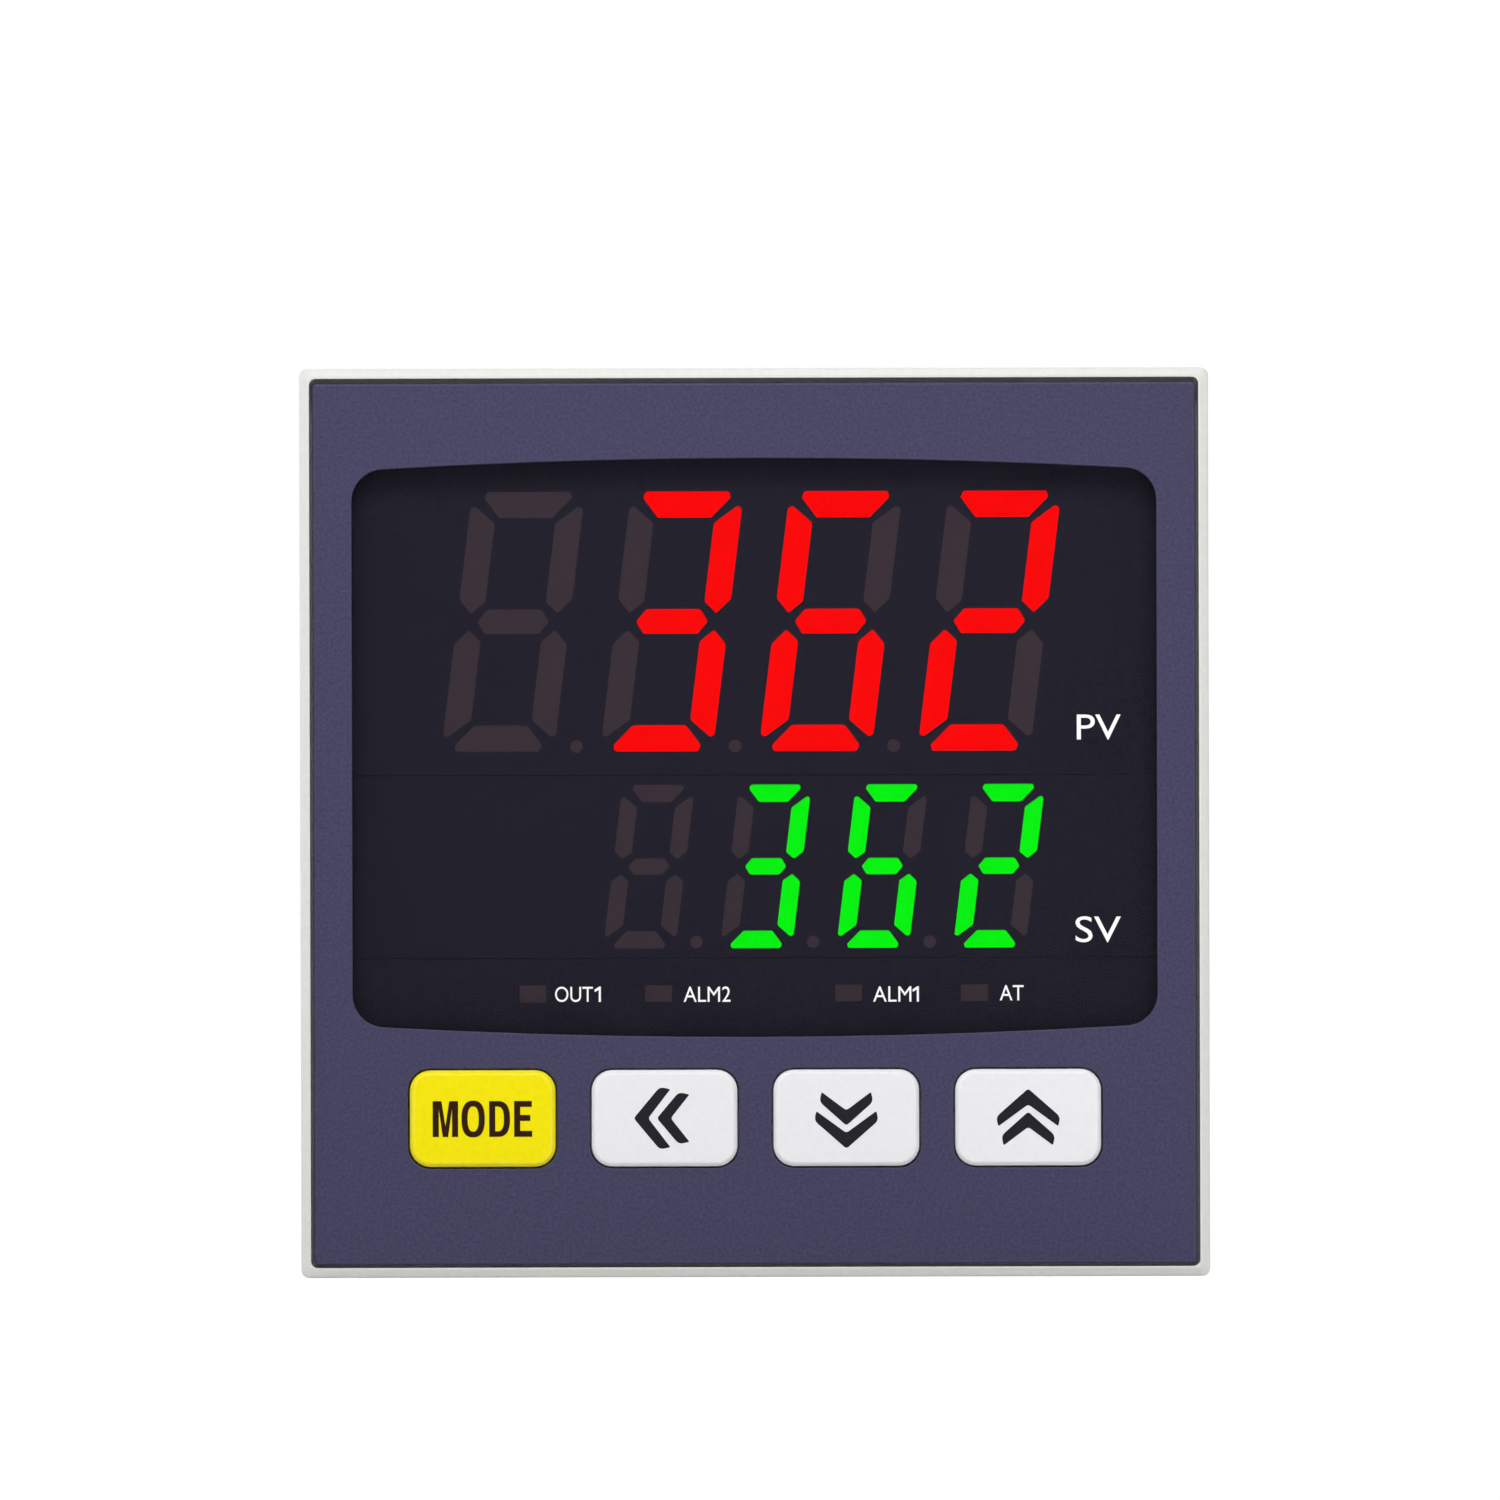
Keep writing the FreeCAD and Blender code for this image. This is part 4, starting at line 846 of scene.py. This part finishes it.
class MakeKeys(bpy.types.Operator):
    """Makes the yellow key, the three white keys and the marks printed on them."""

    bl_idname = "controller.make_keys"
    bl_label = "Keys"

    # Nested chevrons, front and rear: the forward and sideways places of tip, shoulder, foot and notch
    SIDEWAYS_CHEVRONS = (
        ((3.25, 0.0), (0.5, 3.3), (-0.62, 3.06), (1.72, 0.0)),
        ((0.8, 0.0), (-1.5, 2.74), (-2.64, 2.5), (-0.66, 0.0)),
    )
    UPRIGHT_CHEVRONS = (
        ((3.27, 0.0), (0.28, 3.4), (-0.7, 3.16), (1.6, 0.0)),
        ((0.83, 0.0), (-1.7, 2.84), (-2.72, 2.6), (-0.78, 0.0)),
    )

    def execute(self, context):
        paint = colours()
        gloss = {"grain": 3200.0, "depth": 0.002}
        yellow = plastic("Key yellow", paint.yellow_key, 0.4, specular=0.12, fleck=0.03, wear_and_highlight=0.3, **gloss)
        # The white keys' edges are lightened strongly: partly wear, partly a painted highlight along their
        # bevels
        white = plastic("Key white", paint.white_key, 0.4, specular=0.2, fleck=0.02, wear_and_highlight=0.6, **gloss)
        for name, body in KEYS.items():
            slot, finish = ("key_yellow", yellow) if name == "mode" else ("key_white", white)
            softened_copy(name + "_key", name + "_key_cap", sizes().key_edge, slot, finish, body)
        self.mode_word()
        for name, forward in (("shift", (-1, 0)), ("down", (0, -1)), ("up", (0, 1))):
            self.chevrons(name, np.array(forward))
        return {"FINISHED"}

    def key_centre(self, name):
        """The middle of a key's front along X and Z, in millimetres."""
        return sum(box_of(name + "_key"))[[0, 2]] / 2 / MM

    def mode_word(self):
        """The word on the yellow key, in bold narrow letters that stand side by side."""
        height = 3.78
        middle = height / 2
        stem = 0.64
        m_width, o_width, d_width, e_width = 2.68, 2.46, 2.2, 1.9
        half_word = 5.25
        starts = np.array((0.0, 3.04, 5.96, 8.6)) - half_word
        aside, down = 0.02, 0.03
        origin = self.key_centre("mode") - np.array((aside, middle + down))
        m_place, o_place, d_place, e_place = (origin + np.array((start, 0.0)) for start in starts)

        # The M and the E, as shares of their widths and of the height
        leg = stem / m_width
        m_across = (0, 0, 0.345, 0.5, 0.655, 1, 1, 1 - leg, 1 - leg, 0.605, 0.395, leg, leg)
        m_up = (0, 1, 1, 0.3, 1, 1, 0, 0, 0.78, 0, 0, 0.78, 0)
        back = stem / e_width
        bar, arm_top = 0.165, 0.61
        e_across = (0, 0, 0.98, 0.98, back, back, 0.9, 0.9, back, back, 1, 1)
        e_up = (0, 1, 1, 1 - bar, 1 - bar, arm_top, arm_top, arm_top - bar, arm_top - bar, bar, bar, 0)
        m_outline = np.stack((m_across, m_up), -1) * (m_width, height) + m_place
        e_outline = np.stack((e_across, e_up), -1) * (e_width, height) + e_place

        # The O, a little taller than the rest, and the D, whose bowl starts at its own root
        o_rise, o_bar, o_power = 0.05, 0.56, 2.5
        turn = full_turn(48)
        o_middle = np.array((o_width / 2, middle)) + o_place
        o_outer = self.bowl(turn, o_width / 2, middle + o_rise, o_power) + o_middle
        o_inner = self.bowl(turn, o_width / 2 - stem, middle - o_bar, o_power) + o_middle
        d_root, d_bar, d_power = 0.85, 0.58, 2.6
        half_turn = np.linspace(-math.pi / 2, math.pi / 2, 24)
        d_middle = np.array((d_root, middle))
        d_outer = self.bowl(half_turn, d_width - d_root, middle, d_power) + d_middle
        d_inner = self.bowl(half_turn, d_width - d_root - stem, middle - d_bar, d_power) + d_middle
        d_outer = np.concatenate((((0, 0),), d_outer, ((0, height),))) + d_place
        d_inner = np.concatenate((((stem, d_bar),), d_inner, ((stem, height - d_bar),))) + d_place

        front = KEY_FRONT - sizes().print_depth
        word = extruded("mode_key_word", [m_outline * MM, e_outline * MM], front, KEY_FRONT)
        with reshaped(word) as shape:
            for outer, inner in ((o_outer, o_inner), (d_outer, d_inner)):
                ring = ring_between(outer * MM, inner * MM, front, KEY_FRONT)
                shape.from_mesh(ring)
                bpy.data.meshes.remove(ring)
        ink = plastic("Warm print", colours().warm_print, 0.5, specular=0.1, fleck=0.1, wear_and_highlight=0.0)
        new_piece("mode_key_word", creased(word), KEYS["mode"], ink)

    def bowl(self, turn, half_width, half_height, power):
        """A superellipse: each half size times the cosine or sine to two over the power, its sign kept."""
        cosine = np.cos(turn)
        sine = np.sin(turn)
        x = half_width * np.sign(cosine) * np.abs(cosine) ** (2 / power)
        z = half_height * np.sign(sine) * np.abs(sine) ** (2 / power)
        return np.stack((x, z), -1)

    def chevrons(self, name, forward):
        """Two nested chevrons: the outline's forward and sideways places, laid along the key's direction."""
        sideways = np.array((-forward[1], forward[0]))
        lower = 0.24 if name == "up" else 0.0
        middle = self.key_centre(name) - np.array((0.0, lower))
        own = sizes()
        tip_reach = own.chevron_tip / MM
        shoulder_reach = own.chevron_shoulder / MM
        reaches = (tip_reach, shoulder_reach, tip_reach / 2, tip_reach, tip_reach / 2, shoulder_reach)
        outlines = []
        for form in self.UPRIGHT_CHEVRONS if forward[1] else self.SIDEWAYS_CHEVRONS:
            half = np.array(form)
            corners = np.concatenate((half, half[2:0:-1] * (1, -1)))
            outline = rounded_outline(corners, reaches, own.corner_steps)
            outlines.append((middle + outline[:, :1] * forward + outline[:, 1:] * sideways) * MM)
        mesh = extruded(name + "_key_marks", outlines, KEY_FRONT - own.print_depth, KEY_FRONT)
        ink = plastic("Cool print", colours().cool_print, 0.5, specular=0.1, fleck=0.1, wear_and_highlight=0.0)
        new_piece(name + "_key_marks", mesh, KEYS[name], ink)


class MakeSwitches(bpy.types.Operator):
    """Makes the four tactile switches and their plungers."""

    bl_idname = "controller.make_switches"
    bl_label = "Switches"

    def execute(self, context):
        softened_copy("switch_bodies", "switch_cases", 0.15 * MM, "part_black", component_black())
        pale = plastic("Component white", colours().white_part, 0.45, fleck=0.03, wear_and_highlight=0.1)
        for name, body in KEYS.items():
            softened_copy(name + "_plunger", name + "_switch_plunger", 0.2 * MM, "part_white", pale, body)
        return {"FINISHED"}


class MakeBoards(bpy.types.Operator):
    """Finishes the three circuit boards, the control chip and the card-edge sockets."""

    bl_idname = "controller.make_boards"
    bl_label = "Circuit boards"

    def execute(self, context):
        resist = circuit_board("Circuit board green", colours().board)
        for node in ("display_board", "power_board", "output_board"):
            give(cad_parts[node], resist)
        dark = component_black()
        softened_copy("control_chip", "control_chip_package", 0.15 * MM, "part_black", dark)
        softened_copy("board_sockets", "card_edge_sockets", 0.2 * MM, "part_black", dark)
        return {"FINISHED"}


class MakePowerParts(bpy.types.Operator):
    """Makes the transformer, the filter capacitors and the relays."""

    bl_idname = "controller.make_power_parts"
    bl_label = "Power parts"

    def execute(self, context):
        dark = component_black()
        sintered = {"fleck": 0.2, "fleck_scale": 3000.0, "depth": 0.01}
        ferrite = plastic("Ferrite", colours().ferrite, 0.6, wear_and_highlight=0.2, **sintered)
        softened_copy("transformer_core", "ferrite_core", 0.25 * MM, "ferrite", ferrite)
        softened_copy("transformer_bobbin", "coil_former", 0.15 * MM, "part_black", dark)
        softened_copy("output_relays", "relay_cases", 0.3 * MM, "part_black", dark)
        self.winding()
        self.capacitors()
        return {"FINISHED"}

    def winding(self):
        """Wires laid side by side: a rounded loop about the coil's axis, swelling once for each turn."""
        low, high = box_of("transformer_winding")
        turns = 26
        samples_a_turn = 6
        outer_round, inner_round = 1.2 * MM, 0.3 * MM
        thickness = 1.9 * MM
        wire = (high[0] - low[0]) / turns / 2
        along = np.linspace(0, 1, turns * samples_a_turn + 1)
        swell = np.abs(np.sin(along * turns * math.pi)) * wire
        middle = (low + high) / 2
        half = (high - low) / 2
        run = low[0] + along * (high[0] - low[0])
        body = np.stack((wire - swell, run, np.full_like(along, outer_round)), -1)
        inner = np.array(((thickness, high[0], inner_round), (thickness, low[0], inner_round)))
        loops = rounded_loops(np.concatenate((body, inner)), half[1], half[2], sizes().corner_steps)
        points = np.stack((loops[..., 1], loops[..., 0] + middle[1], loops[..., 2] + middle[2]), -1)
        faces = grid_faces(*points.shape[:2], wrap_rows=True, wrap_columns=True)
        mesh = turned_outwards(mesh_from("coil_wires", points, faces.tolist()))
        copper = plastic("Copper wire", colours().copper, 0.3, metallic=1.0, fleck=0.1, wear_and_highlight=0.0, depth=0.002)
        stand_in("transformer_winding", "coil_wires", mesh, copper)

    def capacitors(self):
        """Cans turned about X.

        The profile gives each ring's place along the height in sixteenths and its radius in fifths. It falls
        to a crimped groove near the foot and rounds over at the top.
        """
        low, high = box_of("filter_capacitors")
        radius = (high[1] - low[1]) / 2
        centres = np.array(((low[1] + radius, low[2] + radius), (high[1] - radius, high[2] - radius)))
        sixteenths = np.array((0.0, 0.0, 0.3, 1.6, 2.0, 2.5, 3.0, 3.4, 15.0, 15.6, 15.9, 16.0, 16.0))
        fifths = np.array((0.0, 4.6, 4.95, 4.95, 4.5, 4.25, 4.5, 4.95, 4.95, 4.7, 4.3, 3.9, 0.0))
        run = sixteenths / 16 * (high[0] - low[0])
        reach = fifths / 5 * radius
        turn = full_turn(48)
        points = np.empty((2, len(run), turn.size, 3))
        points[..., 0] = low[0] + run[None, :, None]
        points[..., 1] = centres[:, None, None, 0] + reach[None, :, None] * np.cos(turn)
        points[..., 2] = centres[:, None, None, 1] + reach[None, :, None] * np.sin(turn)
        shell = grid_faces(len(run), turn.size, wrap_columns=True)
        faces = np.concatenate((shell, shell + len(run) * turn.size))
        mesh = mesh_from("capacitor_cans", points, faces.tolist())
        merge_poles(mesh)
        sleeve = plastic("Capacitor sleeve", colours().sleeve, 0.3, fleck=0.05, wear_and_highlight=0.1)
        stand_in("filter_capacitors", "capacitor_cans", turned_outwards(mesh), sleeve)


class MakeHousing(bpy.types.Operator):
    """Makes the deep rear housing with its softened edges."""

    bl_idname = "controller.make_housing"
    bl_label = "Rear housing"

    def execute(self, context):
        # The clamps' teeth are narrower than this and stay sharp
        over_teeth = 6.0 * MM
        edge = sizes().housing_edge
        eroded = {"grain": 2200.0, "depth": 0.012}
        finish = plastic("Housing black", colours().housing, 0.55, specular=0.3, wear_and_highlight=0.12, **eroded)
        softened_copy("rear_housing", "housing_shell", edge, "housing_black", finish, shortest=over_teeth)
        return {"FINISHED"}


class MakeTerminals(bpy.types.Operator):
    """Makes the two terminal blocks with their contacts, square washers and cross-recessed screws."""

    bl_idname = "controller.make_terminals"
    bl_label = "Terminals"

    def execute(self, context):
        paint = colours()
        edge = sizes().block_edge
        black = plastic("Terminal black", paint.terminal, 0.4, specular=0.4, grain=3000.0, wear_and_highlight=0.12)
        for side in ("right", "left"):
            block = "terminal_block_" + side
            softened_copy(block, side + "_terminal_moulding", edge, "terminal_black", black)
        metal = {"metallic": 1.0, "wear_and_highlight": 0.0, "depth": 0.002}
        brass = plastic("Contact metal", paint.brass, 0.3, fleck=0.08, **metal)
        give(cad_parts["terminal_contacts"], brass)
        steel = plastic("Nickel steel", paint.steel, 0.27, fleck=0.06, lines=600.0, **metal)
        softened_copy("terminal_washers", "wire_washers", 0.12 * MM, "nickel_steel", steel)
        stand_in("terminal_screws", "cross_screws", self.screws(), steel)
        return {"FINISHED"}

    def screws(self):
        """Screw heads and shanks on a polar grid.

        From the middle outwards the surface is the flat top, lowered inside the cross by a smooth step of the
        distance to its edge, then the rounded rim, the underside and the shank down to its end. Each screw is
        turned by its own angle.
        """
        own = sizes()
        head = 2.8 * MM
        height = 2.2 * MM
        shank = 1.4 * MM
        neck, neck_drop = 0.2 * MM, 0.1 * MM
        point, point_rise = 0.6 * shank, 0.5 * MM
        flat_share = 0.78
        rim_drop = 0.7 * MM
        soften = 0.14 * MM
        top = np.linspace(0.0, flat_share, 26) * head
        arc = np.linspace(0, math.pi / 2, 7)[1:]
        rim = head * (flat_share + (1 - flat_share) * np.sin(arc))
        reach = np.concatenate((top, rim, (head, shank + neck, shank, shank, point, 0.0)))
        seat = HEAD_TOP - height
        below = (seat, seat, seat - neck_drop, SHANK_END + point_rise, SHANK_END, SHANK_END)
        depth = np.concatenate((np.full(top.size, HEAD_TOP), HEAD_TOP - rim_drop * (1 - np.cos(arc)), below))
        turn = full_turn(72)
        across = reach[:, None] * np.cos(turn)
        along = reach[:, None] * np.sin(turn)
        first = np.maximum(np.abs(across) - own.recess_half_length, np.abs(along) - own.recess_half_width)
        second = np.maximum(np.abs(along) - own.recess_half_length, np.abs(across) - own.recess_half_width)
        inside = np.clip(-np.minimum(first, second) / soften, 0.0, 1.0)
        on_top = (np.arange(reach.size) < top.size)[:, None]
        sunk = np.where(on_top, inside**2 * (3 - 2 * inside) * own.recess_depth, 0.0)
        level = depth[:, None] - sunk

        low, high = box_of("terminal_screws")
        ways = 9
        column = np.linspace(low[2] + head, high[2] - head, ways)
        rows = np.meshgrid((low[0] + head, high[0] - head), column, indexing="ij")
        centres = np.stack(rows, -1).reshape(-1, 2)
        angle = np.random.default_rng(7).uniform(0, math.pi / 2, len(centres))[:, None, None]
        points = np.empty((len(centres), *across.shape, 3))
        points[..., 0] = centres[:, 0, None, None] + across * np.cos(angle) - along * np.sin(angle)
        points[..., 1] = level
        points[..., 2] = centres[:, 1, None, None] + across * np.sin(angle) + along * np.cos(angle)
        shell = grid_faces(*across.shape, wrap_columns=True)
        faces = (shell + np.arange(len(centres))[:, None, None] * across.size).reshape(-1, 4)
        mesh = mesh_from("cross_screws", points, faces.tolist())
        merge_poles(mesh)
        return turned_outwards(mesh)


class MakeClamps(bpy.types.Operator):
    """Makes the two panel clamps that slide along the housing."""

    bl_idname = "controller.make_clamps"
    bl_label = "Panel clamps"

    def execute(self, context):
        grain = {"grain": 2800.0, "depth": 0.005}
        black = plastic("Clamp black", colours().terminal, 0.42, specular=0.35, wear_and_highlight=0.15, **grain)
        for side in ("right", "left"):
            clamp, body = side + "_panel_clamp", side + "_clamp"
            softened_copy("clamp_" + side, clamp, 0.12 * MM, "housing_black", black, body)
        return {"FINISHED"}


# Floor, lamps and camera

FLOOR_HALF = 12.0
FLOOR_WHITE = 1.07
FLOOR_WHITE_SHARE = 0.9
WORLD_LIGHT = 0.42
VIEW_DISTANCE = 1.2
VIEW_WIDTH = 0.1584
VIEW_SHIFT = (-0.0031, 0.0483)
VIEW_ROLL = math.radians(-0.15)
SENSOR = 36.0

# Each lamp's name, place, target, width and height in metres, and power in watts
LAMPS = (
    ("Lamp above the front", (0.0, -0.3, 0.34), (0.0, 0.0, 0.0), 0.45, 0.16, 1.32),
    ("Lamp on the left", (-1.0, 0.1, 0.5), (0.0, 0.03, 0.0), 0.6, 0.6, 3.4),
    ("Lamp behind", (0.5, 1.0, 0.7), (0.0, 0.03, 0.0), 0.7, 0.6, 9.0),
)


def background_rays(tree):
    """A share that is one for the rays that show the background: camera, glossy and transmission rays."""
    path = tree.nodes.new("ShaderNodeLightPath")
    seen = math_node(tree, "MAXIMUM", path.outputs["Is Camera Ray"], path.outputs["Is Glossy Ray"])
    return math_node(tree, "MAXIMUM", seen, path.outputs["Is Transmission Ray"])


def area_lamp(name, place, target, width, height, power):
    """A soft rectangular lamp that looks from its place at a target."""
    lamp = bpy.data.lights.new(name, "AREA")
    lamp.shape = "RECTANGLE"
    lamp.size = width
    lamp.size_y = height
    lamp.energy = power
    holder = bpy.data.objects.new(name, lamp)
    bpy.context.scene.collection.objects.link(holder)
    aim = (Vector(target) - Vector(place)).to_track_quat("-Z", "Y")
    holder.matrix_world = Matrix.Translation(place) @ aim.to_matrix().to_4x4()


class MakeStage(bpy.types.Operator):
    """Makes the pale floor, the white surroundings, the soft lamps and the camera."""

    bl_idname = "controller.make_stage"
    bl_label = "Stage"

    def execute(self, context):
        self.floor()
        self.surroundings()
        for lamp in LAMPS:
            area_lamp(*lamp)
        self.camera(context.scene)
        context.scene.view_settings.view_transform = "Standard"
        return {"FINISHED"}

    def floor(self):
        """A wide flat grid under the object."""
        lines = 9
        reach = np.linspace(-FLOOR_HALF, FLOOR_HALF, lines)
        x, y = np.meshgrid(reach, reach, indexing="xy")
        points = np.stack((x, y, np.full_like(x, FLOOR_LEVEL)), -1)
        mesh = mesh_from("floor", points, grid_faces(lines, lines).tolist())
        floor = bpy.data.objects.new("floor", mesh)
        bpy.context.scene.collection.objects.link(floor)
        material = bpy.data.materials.new("Floor")
        material.use_nodes = True
        tree = material.node_tree
        shader = principled(material)
        shader.inputs["Base Color"].default_value = (*colours().floor, 1.0)
        shader.inputs["Roughness"].default_value = 0.8
        shader.inputs["Specular IOR Level"].default_value = 0.0
        glow = tree.nodes.new("ShaderNodeEmission")
        glow.inputs["Strength"].default_value = FLOOR_WHITE
        share = math_node(tree, "MULTIPLY", background_rays(tree), FLOOR_WHITE_SHARE)
        blend = tree.nodes.new("ShaderNodeMixShader")
        tree.links.new(share, blend.inputs["Fac"])
        tree.links.new(shader.outputs["BSDF"], blend.inputs[1])
        tree.links.new(glow.outputs["Emission"], blend.inputs[2])
        tree.links.new(blend.outputs["Shader"], tree.nodes["Material Output"].inputs["Surface"])
        give(floor, material)

    def surroundings(self):
        """White for the rays that show the background, and softer for the light on the object."""
        world = bpy.data.worlds.new("Surroundings")
        world.use_nodes = True
        bpy.context.scene.world = world
        tree = world.node_tree
        background = tree.nodes["Background"]
        background.inputs["Color"].default_value = (1.0, 1.0, 1.0, 1.0)
        strength = mapped(tree, background_rays(tree), 0.0, 1.0, WORLD_LIGHT, 1.0)
        tree.links.new(strength, background.inputs["Strength"])

    def camera(self, scene):
        """A long lens straight in front, shifted so that the object stands a little below the middle."""
        lens = bpy.data.cameras.new("Camera")
        lens.sensor_width = SENSOR
        lens.lens = SENSOR * (VIEW_DISTANCE + PLATE_FRONT) / VIEW_WIDTH
        lens.shift_x, lens.shift_y = VIEW_SHIFT
        lens.clip_start = 0.05
        lens.clip_end = 50.0
        holder = bpy.data.objects.new("Camera", lens)
        scene.collection.objects.link(holder)
        roll = Matrix.Rotation(VIEW_ROLL, 4, "Z")
        upright = Matrix.Rotation(math.pi / 2, 4, "X")
        holder.matrix_world = Matrix.Translation((0.0, -VIEW_DISTANCE, 0.0)) @ upright @ roll
        scene.camera = holder


PIECES = (
    MakeBezel,
    MakePlate,
    MakeWindow,
    MakeDisplays,
    MakeKeys,
    MakeSwitches,
    MakeBoards,
    MakePowerParts,
    MakeHousing,
    MakeTerminals,
    MakeClamps,
    MakeStage,
)


class CONTROLLER_PT_pieces(bpy.types.Panel):
    """Lists the makers of the controller's pieces."""

    bl_label = "Temperature controller"
    bl_space_type = "VIEW_3D"
    bl_region_type = "UI"
    bl_category = "Controller"

    def draw(self, context):
        for piece in PIECES:
            self.layout.operator(piece.bl_idname)


def register():
    """Registers the sizes, colours, operators and panel."""
    for kind in (ControllerSizes, ControllerColours, *PIECES, CONTROLLER_PT_pieces):
        bpy.utils.register_class(kind)
    bpy.types.Scene.controller_sizes = PointerProperty(type=ControllerSizes)
    bpy.types.Scene.controller_colours = PointerProperty(type=ControllerColours)


def unregister():
    """Takes the classes and the two property groups away again."""
    del bpy.types.Scene.controller_colours
    del bpy.types.Scene.controller_sizes
    for kind in (CONTROLLER_PT_pieces, *reversed(PIECES), ControllerColours, ControllerSizes):
        bpy.utils.unregister_class(kind)


def main():
    """Makes every piece in order."""
    register()
    makers = bpy.ops.controller
    makers.make_bezel()
    makers.make_plate()
    makers.make_window()
    makers.make_displays()
    makers.make_keys()
    makers.make_switches()
    makers.make_boards()
    makers.make_power_parts()
    makers.make_housing()
    makers.make_terminals()
    makers.make_clamps()
    makers.make_stage()


if __name__ == "__main__":
    main()
